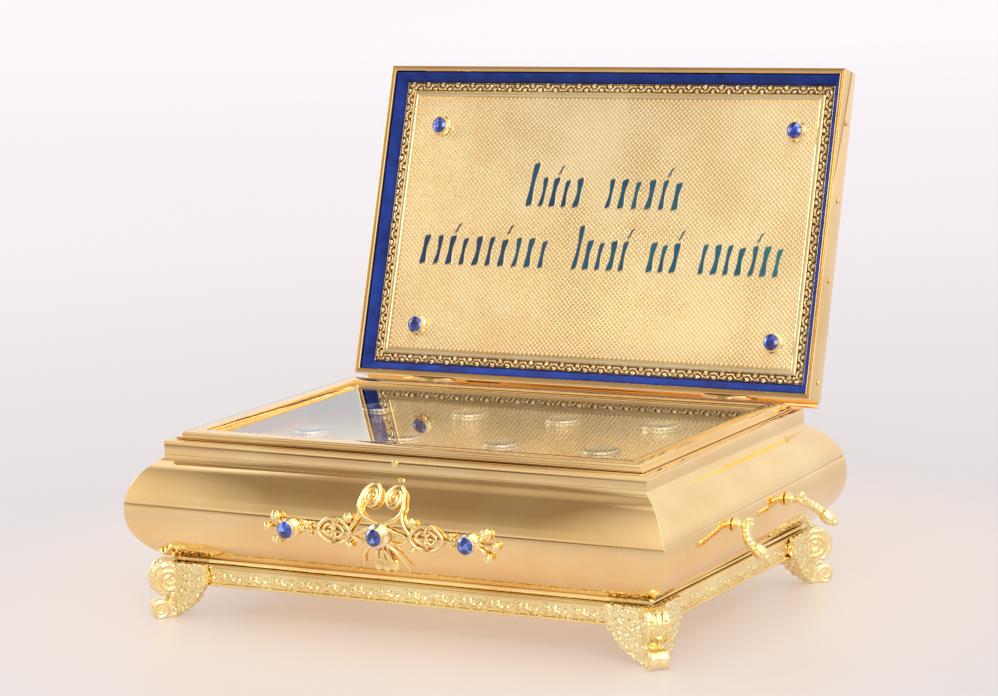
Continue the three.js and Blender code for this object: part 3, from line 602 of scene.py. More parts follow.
def body_shell():
    """A hollow shell with a rim, an inward ledge and a floor."""
    rim = [(-12.9, RIM_Z - 1.6), (-12.9, RIM_Z), (-0.5, RIM_Z), (-0.15, RIM_Z - 0.1),
           (0, RIM_Z - 0.5)]
    floor_z = BODY_FOOT_Z + BODY_WALL
    inner = [(r - BODY_WALL, z) for r, z in reversed(OUTLINE) if z > floor_z + 0.5]
    section = [
        *rim, (0, 91.9), *OUTLINE, (-14, BODY_FOOT_Z), (-14, floor_z),
        (OUTLINE[-1][0] - BODY_WALL, floor_z), *inner, (-BODY_WALL, RIM_Z - 1.6),
    ]
    x, y = HALF_X - 13, HALF_Y - 13
    return merged([
        rounded_ring(section, HALF_X, HALF_Y, 0.3, 3),
        box((-x, -y, BODY_FOOT_Z), (x, y, floor_z), 0.1),
    ])


def glass_frame():
    foot = RIM_Z + GAP
    return rounded_ring([
        (-5, foot), (-5, 100.3), (-5.2, 100.5), (-7.3, 100.5), (-7.3, 102.6), (-7.42, 102.88),
        (-7.7, 103), (-16.5, 103), (-16.75, 102.9), (-16.8, 102.7), (-16.8, 98.3), (-19, 98.3),
        (-19, 97.5), (-13.2, 97.5), (-13.2, foot),
    ], HALF_X, HALF_Y)


def neck():
    """The recessed neck under the body: reeded along the front and the back, plain at the ends."""

    def reeds(along, across, half):
        plain = half < HALF_X or abs(along) > HALF_X - 25
        return 0.0 if plain else 0.26 * cos(2 * pi * along / 1.3)

    front = [(-0.8, 31.7), (-1.1, 31.95), (-1.2, 32.4), (-1.2, 32.9), (-1.2, 33.4),
             (-1.1, 33.8), (-0.8, 34.05)]
    return relief_ring(front, [(-4, 34.05), (-4, 31.7)], HALF_X, HALF_Y, 0.26, reeds)


def plinth():
    """A double lip, an apron of scrolling blossoms and a beaded foot."""
    front = [(0, 18.9), (0.45, 19.15), (0.55, 19.6), (0.4, 20.05), (0, 20.25)]
    front += [(-0.9, 20.6 + 0.43 * i) for i in range(18)]
    front += [(-0.1, 28.3), (0.25, 28.45), (0.55, 28.75), (0.6, 29.15), (0.35, 29.5), (0.3, 29.7),
              (0.65, 29.9), (0.8, 30.3), (0.65, 30.7), (0.2, 31.05), (-0.6, 31.25), (-1.2, 31.35)]
    return relief_ring(front, [(-4, 31.35), (-4, 18.9)], HALF_X, HALF_Y, 0.4, plinth_relief)


def plinth_relief(along, across, half):
    """Beads along the foot and blossoms on the apron; the lip above stays plain."""
    if across < 1.7:
        return 0.14 * cos(2 * pi * along / 2.1)
    return apron_relief(along, (across - 5.9) / 4) if 2.0 <= across < 9.9 else 0.0


def apron_relief(along, v):
    """Blossoms between curled leaves, repeating along the apron; v runs from -1 to 1 across it."""
    pitch = 17.0
    u = ((along / pitch) % 1 - 0.5) * 2
    edge = max(0, 1 - v * v)
    x, y = u * pitch / 2, v * 4.0
    radius, angle = hypot(x, y), atan2(y, x)
    blossom = max(0, 1 - (radius / (2.5 + 0.8 * cos(5 * angle))) ** 2) * 0.75
    heart = max(0, 1 - (radius / 0.9) ** 2) * 0.45
    height = blossom + heart
    for side in (-1, 1):
        cx, cy = side * 5.3, side * 0.9
        r, a = hypot(x - cx, y - cy), atan2(y - cy, (x - cx) * side)
        curl = cos(2.4 * r - a)
        height = max(height, max(0, 1 - (r / 3.1) ** 2) * (0.45 + 0.4 * curl))
    stem = max(0, 1 - ((y - 1.6 * sin(2 * pi * x / pitch)) / 0.7) ** 2) * 0.35
    grain = 0.16 * noise.noise(Vector((along * 0.9, v * 3.2, 3.1)))
    return (max(height, stem) * 1.35 + 1.6 * grain) * min(1, edge * 2.5)


# ---- Feet ----


def foot_outline():
    """Side view of a foot's scroll, (out along the diagonal, z), from the knee round the toe."""
    return [
        *arc(2.1, 22.2, 9.2, 100, -9.7, 19), (2.4, 11.6), (2.2, 10.4), (2.6, 9.6), (3.6, 9.5),
        (4.8, 9.8), *arc(8, 5.35, 5.3, 108, -13.4, 15), (6.8, 0.02), (-2, 0.02), (-5, 3),
        (-6.5, 12), (-6.5, 31.1),
    ]


def foot_point(out, across, z):
    """Local point: out along the corner's diagonal, across it, and up."""
    return Vector(((out - across) * sqrt(0.5), (out + across) * sqrt(0.5), z))


def foot_volute(out, across, z, count, start, step, widest, least):
    """A coil that winds inwards on the scroll's cheek."""
    coil = []
    for i in range(count):
        angle = radians(start + i * step)
        radius = widest * (1 - i / (count + 2)) + least
        coil.append(foot_point(out + radius * cos(angle), across, z + radius * sin(angle)))
    return coil


def wing_plate(flip):
    """A lobed plate that laps the apron beside the foot, along x or, flipped, along y."""
    edge = [(-1.4, 31.3), (25.5, 31.3), (25.6, 27.5), (25.3, 23.5)]
    sweep = bezier((25.3, 23.5), (24.6, 18.5), (22.6, 17.2), (20.6, 14.4), 14)[1:]
    sweep += bezier((20.6, 14.4), (16.5, 7.5), (10, 4), (3, 0.6), 26)[1:]
    for i, (along, z) in enumerate(sweep):
        lobe = 0.9 * abs(sin(pi * i / 5.7)) - 0.35
        edge.append((along + 0.7 * lobe, max(0.6, z - 0.7 * lobe)))
    edge += [(-1.4, 0.6)]
    points = []
    for depth in (-0.7, 4.3):
        for along, z in edge:
            x, y = -along, depth
            points.append(Vector((y, x, z)) if flip else Vector((x, y, z)))
    return points, bar_faces(2, len(edge))


def foot_rough():
    """The foot's masses: scroll, wings, rolled borders, the shell's ribs and the volutes."""
    outline = foot_outline()
    rings = []
    stations = [(-1, 0.9), (-0.9, 0.975), (-0.6, 1), (0, 0.95), (0.6, 1), (0.9, 0.975),
                (1, 0.9)]
    for share, swell in stations:
        for out, z in outline:
            width = 6.0 if z > 12 else 5.3
            rings.append(foot_point(out * swell if out > 0 else out, share * width, z))
    scroll = rings, bar_faces(len(stations), len(outline))
    parts = [scroll, wing_plate(False), wing_plate(True)]
    for share in (-1, 1):
        border = [foot_point(out + 0.2, share * 5.3, z) for out, z in outline[:18]]
        parts.append(tube(spline(border, 2), lambda t: 1.15, 8))
        toe = foot_volute(8, share * 5.2, 5.3, 26, -70, -26, 4.4, 0.4)
        parts.append(tube(toe, lambda t: 0.8 * (1 - 0.5 * t), 6))
        knee = foot_volute(2.4, share * 6.1, 22, 40, 60, 20, 7.6, 0.5)
        parts.append(tube(knee, lambda t: 0.95 * (1 - 0.4 * t), 6))
    for k in range(-3, 4):
        rib = []
        for i, (out, z) in enumerate(arc(2.1, 22.2, 9.5, -32, 14.5, 9)):
            rib.append(foot_point(out, k * (0.55 + 0.9 * i / 8), z))
        parts.append(tube(rib, lambda t: 0.35 + 0.4 * t, 6))
    parts.append(ball(foot_point(10.6, 0, 17.2), (1.4, 1.4, 1.1)))
    return merged(parts)


def granular(p):
    """The height of chased casting: small beads over broader leaf cells."""
    near, _ = noise.voronoi(p * 0.55)
    bead = sqrt(max(0, 1 - (near[0] / 0.48) ** 2))
    near, _ = noise.voronoi(p * 0.24 + Vector((7, 3, 1)))
    leaf = min(1, (near[1] - near[0]) * 2.6)
    return 0.55 * bead + 0.6 * leaf - 0.45


def foot_mesh():
    """The rough foot, remeshed to one skin, chased, and kept clear of the plinth and the floor."""
    points, faces = foot_rough()
    mesh = bpy.data.meshes.new("foot_rough")
    mesh.from_pydata(points, [], faces)
    rough = bpy.data.objects.new("foot_rough", mesh)
    scene.collection.objects.link(rough)
    remesh = rough.modifiers.new("remesh", "REMESH")
    remesh.mode = "VOXEL"
    remesh.voxel_size = 0.38
    smooth = rough.modifiers.new("smooth", "SMOOTH")
    smooth.iterations = 2
    bpy.context.view_layer.update()
    evaluated = rough.evaluated_get(bpy.context.evaluated_depsgraph_get())
    done = bpy.data.meshes.new_from_object(evaluated)
    bpy.data.objects.remove(rough)
    work = bmesh.new()
    work.from_mesh(done)
    work.normal_update()
    for v in work.verts:
        p = v.co
        out = (p.x + p.y) * sqrt(0.5)
        across = abs(p.y - p.x) * sqrt(0.5)
        on_scroll = across < 6.9 and out > 1.5
        fan = atan2(across, p.z - 12.5)
        if on_scroll and p.z < 13:
            lift = 0.08 * noise.noise(p * 0.8)
        elif on_scroll and across < 5.2 and out > 5:
            lift = 0.42 * cos(30 * fan) + 0.2 * granular(p)
        elif on_scroll:
            lift = 0.3 * granular(p)
        else:
            lift = granular(p) * min(1, max(0, p.z - 0.4))
        v.co += v.normal * lift
        v.co.z = max(0, v.co.z)
        clear = 1.05 if v.co.z > 27.6 or v.co.z < 20.6 else -0.6
        if v.co.x < clear and v.co.y < clear and v.co.z > 18.5:
            if clear - v.co.x < clear - v.co.y:
                v.co.x = clear
            else:
                v.co.y = clear
    return shape_of(work)


def add_feet():
    shape = foot_mesh()
    corners = (("back_right", 1, 1, 0), ("back_left", -1, 1, 90), ("front_left", -1, -1, 180),
               ("front_right", 1, -1, 270))
    for where, sx, sy, turn in corners:
        at = placed(sx * HALF_X, sy * HALF_Y, 0, turn, "Z")
        add_piece(f"foot_cast_{where}", moved(shape, at), FOOT, BODY,
                  [f"foot_{where}"], 70)


# ---- Stones ----


def brilliant():
    """A cut stone with its table at z = 0."""
    radius = 4.5
    work = bmesh.new()
    for count, share, z, turn in ((8, 0.56, 0, 0), (8, 0.84, -0.5, 22.5), (16, 1, -1.05, 11.25),
                                  (16, 1, -1.2, 11.25), (8, 0.45, -1.6, 0)):
        for x, y in arc(0, 0, share * radius, turn, 360 / count, count):
            work.verts.new((x, y, z))
    bmesh.ops.convex_hull(work, input=work.verts)
    bmesh.ops.dissolve_limit(work, angle_limit=0.01, verts=work.verts, edges=work.edges)
    return shape_of(work)


def bezel(foot_radius, height):
    """A tall cup with a dished foot, a waist and a finely milled lip; its foot is at z = 0."""
    wall = 4.6
    height -= 0.8

    def milled(angle, index):
        return 1 + (0.012 * cos(36 * angle) if index in (8, 9) else 0)

    return lathe([
        (0, 0), (foot_radius - 0.15, 0), (foot_radius, 0.2), (foot_radius, 0.5),
        (foot_radius - 0.3, 0.8), (wall + 0.75, 1.05), (wall + 0.35, 1.5),
        (wall + 0.3, height - 1.3), (wall + 0.5, height - 1), (wall + 0.5, height - 0.45),
        (wall + 0.3, height - 0.15), (wall + 0.05, height - 0.2), (wall, height - 1.85),
        (0, height - 1.85),
    ], 72, milled)


def add_jewel(part, which, place, at, foot_radius, height):
    """A bezel and its stone: `at` carries the local foot and its +Z direction into place."""
    add_piece(f"{part}_{which}_bezel", moved(bezel(foot_radius, height), at), BEZEL, place,
              [f"{part}_bezel_{which}"], 40, 0.01)
    table = at @ Matrix.Translation((0, 0, height))
    add_piece(f"{part}_{which}_stone", moved(brilliant(), table), STONE, place,
              [f"{part}_stone_{which}"], 2)


# ---- Front ornament ----

ORNAMENT_Z = 61


def bar(points, lift, radius, per=6, closed=False):
    """A flattened bar through (x, z) points, lifted over the front."""
    path = spline([Vector((x, z, 0)) for x, z in points], per, closed)
    path = [over_front(p.x, p.y, lift) for p in path]
    return tube(path, radius, 8, closed, 0.8, Vector((0, -1, 0)))


def spiral(x, z, start, sweep, inner, outer, count):
    points = []
    for i in range(count + 1):
        angle = radians(start + sweep * i / count)
        radius = inner + (outer - inner) * i / count
        points.append((x + radius * cos(angle), z + radius * sin(angle)))
    return points


def scroll_ball(x, z, radius, side):
    """A small snail scroll: a rising coil round a boss."""
    coil = spiral(x, z, 200, -650 * side, 0.25 * radius, radius * 0.86, 26)
    path = []
    for i, (px, pz) in enumerate(coil):
        path.append(over_front(px, pz, 0.5 + radius * (1.25 - 0.75 * i / len(coil))))
    boss = ball(over_front(x, z, radius * 0.75), (radius * 0.8, radius * 0.85, radius * 0.8))
    return [tube(path, lambda t: radius * 0.3, 8), boss]


def floret(x, z, radius):
    """Four petals round a bud."""
    buds = [(px, pz, 1.4, 0.62) for px, pz in arc(x, z, radius, 45, 90, 4)] + [(x, z, 2, 0.5)]
    return [
        ball(over_front(px, pz, lift), (radius * wide, 0.9, radius * wide), rows=6, columns=8)
        for px, pz, lift, wide in buds
    ]


def ornament():
    """The openwork: three pads, mirrored scrolls, hoops, florets and twigs, and a shell."""
    lift = 1.75
    pad_y = -(HALF_Y + BELLY_REACH + GAP)
    parts = []
    for x, radius in ((0, 6.5), (-55.8, 5.5), (55.8, 5.5)):
        pad = lathe([(0, 0), (radius, 0), (radius, 2.2), (radius - 0.4, 2.65), (0, 2.7)], 36)
        parts.append(moved(pad, placed(x, pad_y, ORNAMENT_Z, 90, "X")))
    for side in (-1, 1):

        def strand(points, radius, per=6, above=0, closed=False):
            points = [(side * x, z) for x, z in points]
            parts.append(bar(points, lift + above, radius, per, closed))

        heart = spiral(6.9, 79.4, 165, -885, 0.9, 5.9, 44)
        heart += [(13.6, 75.8), (12.9, 72.6), (10, 69.8), (5.6, 67.8), (0, 66), (-6, 64.2),
                  (-11.2, 62.4), (-15.6, 61.4)]
        strand(heart, lambda t: 0.62 + 0.62 * min(1, t * 1.1) ** 2 - 0.25 * max(0, t - 0.85), 3,
               0.35 * (side < 0))
        stem = [(13.2, 74.5), (13.4, 70), (15.6, 66), (18.4, 62.6), (19.2, 60.4)]
        strand(stem, lambda t: 1.15 - 0.4 * abs(t - 0.5))
        hoop = [(18.6, 61), (20.6, 64.4), (25, 67.2), (30.6, 67.8), (35.6, 65.4), (38.8, 61),
                (35.4, 57), (30.2, 54.7), (24.6, 55.4), (20.4, 57.8)]
        strand(hoop, lambda t: 1, 5, closed=True)
        inner = [(22.5, 61.8), (26, 64.6), (31, 64.9), (35.2, 61.4), (31, 58.2), (26, 58.3),
                 (22.6, 60.4)]
        strand(inner, lambda t: 0.6, 4, 0.2, True)
        for i in range(5):
            angle = radians(36 * (i - 2))
            cx, cz = 27.2 + 3.24 * cos(angle), 61.2 + 3.2 * sin(angle)
            parts.append(ball(over_front(side * cx, cz, 1.6), (2.6, 0.95, 0.85),
                              Matrix.Rotation(-side * angle, 3, "Y"), 6, 8))
        strand([(10, 61), (20, 61), (29, 61.2), (40, 61), (52, 61)], lambda t: 0.85, above=-0.2)
        parts += scroll_ball(side * 19.6, 68.4, 2.7, side)
        strand([(21.6, 67.2), (21.9, 65.4), (20.8, 63.6)], lambda t: 0.8, 5)
        parts += scroll_ball(side * 19.4, 54.2, 2, -side)
        strand([(21, 55.2), (22.4, 56.4), (24.8, 55.8)], lambda t: 0.7, 5)
        for x, z, radius in ((44.6, 63.2, 1.5), (44.2, 58.9, 1.3), (48.8, 61, 1.1)):
            parts += floret(side * x, z, radius)
        for x, z, radius in ((65.2, 66.2, 3), (70.8, 60.4, 2.3), (65.6, 53.8, 2.8)):
            parts += scroll_ball(side * x, z, radius, side if z > 60 else -side)
            rise = z - ORNAMENT_Z
            twig = [(59.5, ORNAMENT_Z + rise * 0.2), (63.2, ORNAMENT_Z + rise * 0.55), (x - 1.2, z)]
            strand(twig, lambda t: 1.0 - 0.25 * t, 5)
        strand([(3.4, 56.8), (8.4, 53.4), (12, 49), (14.4, 43)], lambda t: 1.0 - 0.35 * t)
        strand([(5.8, 57.6), (10, 56.6), (14.6, 57.8), (17.6, 59.6)], lambda t: 0.7, 5)
    for k in (-1, 0, 1):
        lobe = over_front(5.2 * k, 44.4 + 0.5 * abs(k), 0.8)
        parts.append(ball(lobe, (2.9, 1.3, 3.9), columns=14))
        for j in (-1, 0, 1):
            rib = [(2.4 * k + 0.4 * j, 53.5), (4 * k + 1.1 * j, 48.5), (5.2 * k + 1.9 * j, 43.6)]
            parts.append(bar(rib, lift + 0.3, lambda t: 0.3 + 0.4 * t, 6))
    return merged(parts)


# ---- Scroll arms ----

ARM_Y = 32.6


def along_x(shape):
    return moved(shape, turned(90, "Y"))


def arm():
    """The arm on the +X end and +Y side, from its collar at the origin: out is +X, away is +Y."""
    collar = lathe([
        (0, GAP), (3.7, GAP), (4.1, 0.8), (4.1, 1.3), (3.6, 1.7), (3, 1.9), (3.3, 2.3), (3.3, 2.8),
        (2.6, 3.1), (2.1, 3.7), (2, 5), (2.7, 5.5), (2.7, 6.1), (1.9, 6.6), (1.7, 8.6), (0, 8.8),
    ], 28)
    parts = [along_x(collar)]
    for i in range(6):
        angle = radians(60 * i + 15)
        spot = (9.6, 2.5 * cos(angle), 0.5 + 2.5 * sin(angle))
        parts.append(ball(spot, (1.15, 1.8, 1.5), Matrix.Rotation(angle, 3, "X"), 6, 10))
    parts.append(ball((10.6, 0, 0.5), (1.2, 1.3, 1.3)))
    parts.append(ball((8.6, 0.3, 2.9), (1.1, 1.1, 1.6), None, 6, 10))
    limb = spline([Vector(v) for v in (
        (8.2, 0.6, 0.2), (9.2, 3.2, -1), (10.2, 5.8, -2.9), (12, 8.6, -4.8), (14.6, 10.2, -7.2),
        (17.2, 10.6, -9.6),
    )], 10)
    parts.append(tube(limb, lambda t: 2.1 + 0.28 * cos(2 * pi * t * 6) + 0.5 * t, 12))
    turn = Vector((7.6, 0.2, -5.6)).normalized().to_track_quat("Z", "Y").to_matrix()

    def fluted(theta, phi):
        return 1 + 0.04 * cos(9 * phi) * sin(theta)

    parts.append(ball((19.4, 10.4, -11), (3.8, 3.8, 5.4), turn, 14, 54, fluted))
    parts.append(ball((23.3, 10.3, -13.7), (2.2, 2.2, 1.9), turn, 8, 16))
    return merged(parts)


def add_arms():
    shape = arm()
    for end, sx in (("right", 1), ("left", -1)):
        for where, sy in (("front", -1), ("back", 1)):
            at = Matrix.Translation((sx * (HALF_X + BELLY_REACH), sy * ARM_Y, BELLY_Z))
            at = at @ Matrix.Diagonal((sx, sy, 1, 1))
            add_piece(f"arm_cast_{end}_{where}", moved(shape, at), CAST, BODY,
                      [f"arm_{end}_{where}"], 50, 0.01)


# ---- Glazed relics, hinges, screws ----

RELIC_Z = 93.4


def add_relics():
    """The plate under the glass, with a milled collar, twelve petals and a lens for each relic."""
    x, y = HALF_X - 1.9, HALF_Y - 1.9
    plate = box((-x, -y, RELIC_Z - 1.2), (x, y, RELIC_Z), 0.2)
    relics = []

    def milled(angle, index):
        return 1 + (0.02 * cos(30 * angle) if index in (3, 4, 5) else 0)

    collar = lathe([
        (0, 0), (11, 0), (11, 0.5), (10.5, 0.9), (10.7, 1.4), (10.5, 2.4), (10.1, 2.9), (9.7, 3),
        (9.25, 2.8), (9.2, 1), (0, 1),
    ], 90, milled)
    lens = lathe([
        (0, 1.3), (8.9, 1.3), (8.9, 2.6), (8.2, 2.95), (6.2, 3.35), (3.5, 3.58), (0, 3.6),
    ], 40)
    spots = [(cx, cy) for cy in (-35, 35) for cx in (-91.5, -30.5, 30.5, 91.5)]
    for number, (cx, cy) in enumerate(spots, 1):
        relics.append(shifted(collar, cx, cy, RELIC_Z - 0.05))
        relics.append(ball((cx, cy, RELIC_Z + 0.9), (2.2, 2.2, 0.3), rows=6, columns=16))
        for i, (px, py) in enumerate(arc(cx, cy, 5.6, 0, 30, 12)):
            turn = Matrix.Rotation(radians(30 * i), 3, "Z")
            relics.append(ball((px, py, RELIC_Z + 0.9), (2.4, 1.1, 0.3), turn, 6, 10))
        add_piece(f"relic_lens_{number}", shifted(lens, cx, cy, RELIC_Z), GLASS, BODY,
                  [f"relic_glass_{number}"], 50, 0.01)
    add_piece("relic_plate_skin", plate, PLATE, BODY, ["relic_plate"], 40)
    add_piece("relic_settings", merged(relics), SILVER, BODY, (), 40, 0.01)


def on_axis(profile, sides, x):
    """A piece turned about the hinge line; the profile is (radius, way along x)."""
    return shifted(along_x(lathe(profile, sides)), x, AXIS_Y, AXIS_Z)


def knuckle(x0, x1, x):
    edge, outer, bore = 0.3, 2.6, 1.3
    return on_axis([
        (bore, x0), (outer - edge, x0), (outer, x0 + edge), (outer, x1 - edge), (outer - edge, x1),
        (bore, x1), (bore, x0),
    ], 32, x)


def add_hinges():
    half = 14
    third = half / 3
    for end, x in (("left", -97), ("right", 97)):
        fixed = [box((x - half, 95.3, 91.8), (x + half, 96.7, 97.4), 0.25)]
        for x0, x1 in ((-half, -third - GAP), (third + GAP, half)):
            fixed.append(knuckle(x0, x1, x))
            fixed.append(box((x + x0, 95.6, 95.7), (x + x1, 98.2, 97.4), 0.1))
        add_piece(f"hinge_fixed_{end}", merged(fixed), POLISHED, BODY,
                  [f"hinge_leaf_body_{end}"])
        swinging = [
            box((x - half, 94.8, 99.7), (x + half, 96.2, 106.7), 0.25),
            box((x - third, 95.1, 99.7), (x + third, 98.2, 100.5), 0.1),
            knuckle(-third, third, x),
        ]
        add_piece(f"hinge_moving_{end}", merged(swinging), POLISHED, LID,
                  [f"hinge_leaf_lid_{end}"])
        pin = on_axis([
            (0, -14.6), (0.8, -14.6), (1, -14.3), (1, 14.3), (0.8, 14.6), (0, 14.6),
        ], 20, x)
        add_piece(f"hinge_rod_{end}", pin, POLISHED, BODY,
                  [f"hinge_pin_{end}"])


def add_fasteners():
    """Screw heads in the lid's ends, and the rivet on the front band."""
    head = lathe([
        (0, 0), (1.7, 0), (1.7, 0.25), (1.5, 0.55), (1.1, 0.7), (0.55, 0.72), (0.5, 0.45),
        (0, 0.42),
    ], 28)
    for number, from_hinge in enumerate((10.6, 68.6, 114.5, 159.3), 1):
        for end, sx in (("left", -1), ("right", 1)):
            x, y = sx * (LID_HALF_X + GAP), LID_HALF_Y - from_hinge
            at = placed(x, y, LID_RIM_Z + 9, 90 * sx, "Y")
            add_piece(f"screw_head_{end}_{number}", moved(head, at), POLISHED, LID,
                      [f"lid_screw_{end}_{number}"], 40, 0.01)
    rivet = lathe([
        (0, 0), (1.9, 0), (1.9, 0.4), (1.6, 0.75), (1.25, 0.8), (1, 0.5), (0.7, 0.6), (0.5, 1),
        (0, 1.1),
    ], 32)
    at = placed(0, -HALF_Y - GAP, 95.9, 90, "X")
    add_piece("rim_rivet_head", moved(rivet, at), SMOOTH_CAST, BODY,
              ["rim_rivet"], 40, 0.01)


# ---- Lid ----


def lid_shell():
    rim = LID_RIM_Z
    section = [(reach, rim + z) for reach, z in (
        (-3, 0.4), (-2.85, 0.12), (-2.6, 0), (-1.35, 0), (-1.2, 0.4), (-0.9, 0.4), (-0.75, 0),
        (-0.3, 0), (-0.08, 0.08), (0, 0.3), (0, 14.6), (-0.1, 14.9), (-0.4, 15), (-12.7, 15),
        (-13, 15.1), (-14.2, 15.7), (-14.6, 15.8), (-16, 15.8), (-16, 13.5), (-3, 13.5),
    )]
    x, y = LID_HALF_X - 15.9, LID_HALF_Y - 15.9
    return merged([
        rounded_ring(section, LID_HALF_X, LID_HALF_Y),
        box((-x, -y, rim + 13.5), (x, y, rim + 15.8), 0.02),
    ])


def lid_lining():
    """A padded velvet edge, puffed between the lid's wall and its panel, and the panel's bed."""

    def puff(along, across, half):
        middle = sin(pi * min(1, across / 9))
        slow = noise.noise(Vector((along * 0.05, across * 0.2, half)))
        quick = noise.noise(Vector((along * 0.35, across * 0.5, half + 9)))
        return middle * (0.3 * slow + 0.07 * quick)

    front = [
        (-8.2, 107.6), (-8.1, 106.6), (-7.75, 105.3), (-7.1, 104.2), (-6.2, 103.1), (-5.4, 102.2),
        (-4.7, 101.5), (-4.1, 101.1), (-3.7, 101), (-3.4, 101.2), (-3.3, 101.9),
    ]
    bed, top = 108.3, 112.4
    back = [(-3.3, top), (-12, top), (-12, bed), (-8.3, bed)]
    x, y = LID_HALF_X - 11.8, LID_HALF_Y - 11.8
    return merged([
        relief_ring(front, back, LID_HALF_X, LID_HALF_Y, 1.6, puff),
        box((-x, -y, bed), (x, y, top), 0.05),
    ])


NET_PITCH = 3.0


def leaf_border(along, across, half):
    """Openwork of curled leaves; between them the relief drops under the dark sheet of painted
    shade.
    """
    v = across / 2.75 - 1
    u = along / 5.2
    cell = u // 1
    side = 1 if cell % 2 else -1
    x = (u - cell - 0.5) * 2
    rim = max(0, 1 - abs(abs(v) - 0.9) / 0.16)
    stem = max(0, 1 - ((v - 0.5 * side * cos(pi * x / 2)) / 0.3) ** 2)
    lobe = 0.0
    leaves = ((0, -0.38 * side, 0.78), (0.8, 0.42 * side, 0.5), (-0.8, 0.42 * side, 0.5))
    for leaf_x, leaf_v, reach in leaves:
        leaf = 1 - (hypot((x - leaf_x) * 1.1, (v - leaf_v) * 1.5) / reach) ** 2
        if leaf > 0:
            lobe = max(lobe, leaf + 0.3 * cos(9 * atan2(v - 2.4 * leaf_v, x - leaf_x)))
    return 1.3 * max(rim * 0.7, stem * 0.9, lobe) - 0.5


def lozenges():
    """A net of small pointed lozenges that covers the panel's field."""
    columns = round(2 * FIELD_X / NET_PITCH)
    rows = round(2 * FIELD_Y / NET_PITCH)
    dx, dy = 2 * FIELD_X / columns, 2 * FIELD_Y / rows
    points, faces = [], []
    z = PANEL_FACE_Z
    for i in range(1, 2 * columns):
        for j in range(1, 2 * rows):
            if (i + j) % 2:
                continue
            cx, cy = -FIELD_X + i * dx / 2, -FIELD_Y + j * dy / 2
            start = len(points)
            for share, height in ((0.9, -0.02), (0.64, 0.2)):
                for sx, sy in ((1, 0), (0, 1), (-1, 0), (0, -1)):
                    x, y = cx + sx * share * dx / 2, cy + sy * share * dy / 2
                    points.append(Vector((x, y, z - height)))
            points.append(Vector((cx, cy, z - 0.34)))
            for k in range(4):
                a, b = start + k, start + (k + 1) % 4
                faces += [[a, b, b + 4, a + 4], [a + 4, b + 4, start + 8]]
            faces.append([start + k for k in (3, 2, 1, 0)])
    return points, faces


def stroke(x, foot_y, height, width, lean, bow, z0, z1):
    """One plain tapering stroke, drawn upward from its foot (towards -Y on the closed lid)."""
    count, skew = 10, 0.5
    points = []
    for i in range(count + 1):
        t = i / count
        centre = x + lean * t * height + bow * sin(pi * t)
        half = width / 2 * (0.82 + 0.18 * cos(2 * pi * t)) * (1 if 0 < i < count else 0.86)
        y = foot_y - t * height
        top = half * 0.86
        points += [
            Vector((centre - half, y + skew, z0)), Vector((centre + half, y - skew, z0)),
            Vector((centre + top, y - skew, z1)), Vector((centre - top, y + skew, z1)),
        ]
    return points, bar_faces(count + 1, 4)


# Per row: the foot line, and for each group its start, end, number of strokes and first height.
SHORT, TALL = 17, 25.5
STROKE_ROWS = (
    (-11.8, ((-52, -13, 5, TALL), (0, 53, 6, SHORT))),
    (25, ((-121, -31, 10, SHORT), (-17, 22, 5, TALL), (33, 55, 3, SHORT), (66, 121, 7, SHORT))),
)


def strokes(grow, z0, z1):
    """Rows of plain slanted strokes, which aren't letters, with ticks over some."""
    parts = []
    for foot_y, groups in STROKE_ROWS:
        for group, (start, end, count, first_height) in enumerate(groups):
            step = (end - start) / count
            for i in range(count):
                x = start + (i + 0.5) * step
                height = first_height if i == 0 else SHORT * (1 if (i * 7 + group) % 3 else 0.92)
                width = (4.5 if (i + group) % 2 == 0 else 3.5) + grow
                bow = 0.7 if (i + group) % 3 == 1 else -0.35
                parts.append(stroke(x, foot_y + grow / 2, height + grow, width, 0.13, bow, z0, z1))
                if i and (i + 2 * group) % 4 == 2:
                    tick_y = foot_y - SHORT - 2.6 + grow / 2
                    parts.append(stroke(x + 3.2, tick_y, 4.8 + grow, 2.1 + grow, 0.5, 0, z0, z1))
    return merged(parts)


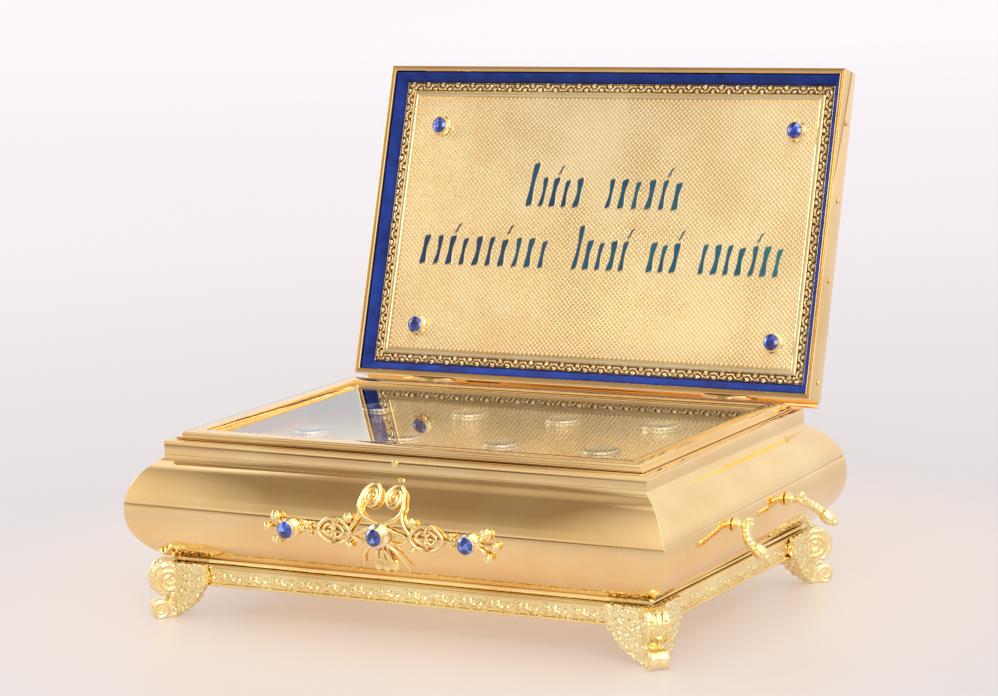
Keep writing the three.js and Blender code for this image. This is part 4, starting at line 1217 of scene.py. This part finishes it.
def add_lid():
    add_piece("lid_skin", lid_shell(), POLISHED, LID, ["lid_shell"], 24)
    lining = add_piece("lid_lining", lid_lining(), VELVET, LID, ["lid_velvet"],
                       50, 0.02)
    z = PANEL_FACE_Z
    plate = box((-PANEL_X, -PANEL_Y, z), (PANEL_X, PANEL_Y, z + 1.2), 0.15)
    border = relief_ring(
        [(-5.55 + 0.325 * i, z - 0.05) for i in range(18)], [(-0.02, z + 0.2), (-5.55, z + 0.2)],
        PANEL_X, PANEL_Y, 0.4, leaf_border)
    fillet = rounded_ring([(reach, z + rise) for reach, rise in (
        (-5.7, 0.1), (-5.7, -0.35), (-6, -0.62), (-6.8, -0.68), (-7.7, -0.66), (-8.1, -0.45),
        (-8.3, 0.1),
    )], PANEL_X, PANEL_Y, 0.1, 1)
    panel = merged([plate, border, fillet, strokes(1.1, z - 0.05, z - 0.36)])
    add_piece("lid_panel_chased", panel, CHASED, LID, ["lid_panel"], 12)
    add_piece("lid_net_chased", lozenges(), CHASED, LID, (), 6)
    # The dark sheet under the border shows as painted shade wherever the relief dips below it.
    section = [(-0.3, z + 0.1), (-0.3, z - 0.06), (-5.5, z - 0.06), (-5.5, z + 0.1)]
    bed = rounded_ring(section, PANEL_X, PANEL_Y, 0.1, 1)
    add_piece("lid_border_shade_sheet", bed, PAINTED_SHADE_GOLD, LID)
    # The net's ground shows darker between the lozenges, painted shade in the grooves.
    field = box((-FIELD_X, -FIELD_Y, z - 0.05), (FIELD_X, FIELD_Y, z + 0.1), 0.02)
    add_piece("lid_net_bed", field, NET_BED_PAINTED_SHADE, LID)
    flange = box((-149.5, LID_HALF_Y - 0.1, LID_RIM_Z + 13.4),
                 (149.5, LID_HALF_Y + 3.3, LID_RIM_Z + 14.9), 0.3)
    add_piece("lid_back_flange", flange, POLISHED, LID)
    add_piece("lid_strokes", strokes(0, z - 0.1, z - 0.55), ENAMEL, LID)
    corners = [(up, side) for up in (-1, 1) for side in (-1, 1)]
    for number, (up, side) in enumerate(corners, 1):
        at = placed(side * 117.5 + 3.5, -up * 61 + 2, z - GAP, 180, "X")
        add_jewel("lid", number, LID, at, 5.9, 5)


# ---- The scene ----

scene.view_settings.view_transform = "Standard"
add_camera()
add_world()
add_floor()
add_softbox("soft_top", (-0.4, -0.2, 2.6), (0, 0, 0.1), (2.4, 1.8), 7, (1, 0.97, 0.94), False)
add_softbox("soft_left", (-2.1, -0.3, 0.95), (0, 0, 0.15), (0.9, 0.9), 11, (1, 0.97, 0.93), True)
add_softbox("soft_front", (1.2, -1.5, 1.25), (0, 0, 0.15), (1.0, 0.8), 12, (1, 0.97, 0.93), True)

add_piece("body_skin", body_shell(), POLISHED, BODY, ["body_shell"], 24)
add_piece("glass_frame_skin", glass_frame(), POLISHED, BODY, ["glass_frame"])
add_piece("neck_reeded", neck(), CAST, BODY, ["base_moulding"], 60, 0.02)
add_piece("plinth_chased", plinth(), CAST, BODY, ["base_plinth"], 60, 0.02)
add_feet()
add_piece("ornament_cast", ornament(), SMOOTH_CAST, BODY, ["front_ornament"],
          60, 0.01)
for where, x, foot_radius in (("left", -55.8, 5.4), ("middle", 0, 6.4), ("right", 55.8, 5.4)):
    foot_y = -(HALF_Y + BELLY_REACH + 2 * GAP + 2.7)
    at = placed(x, foot_y, ORNAMENT_Z, 90, "X")
    add_jewel("front", where, BODY, at, foot_radius, 121.4 + foot_y)
add_arms()
add_relics()
add_hinges()
add_fasteners()
add_lid()

pane = frame["nodes"]["glass_pane"].data
pane.materials.clear()
pane.materials.append(GLASS)
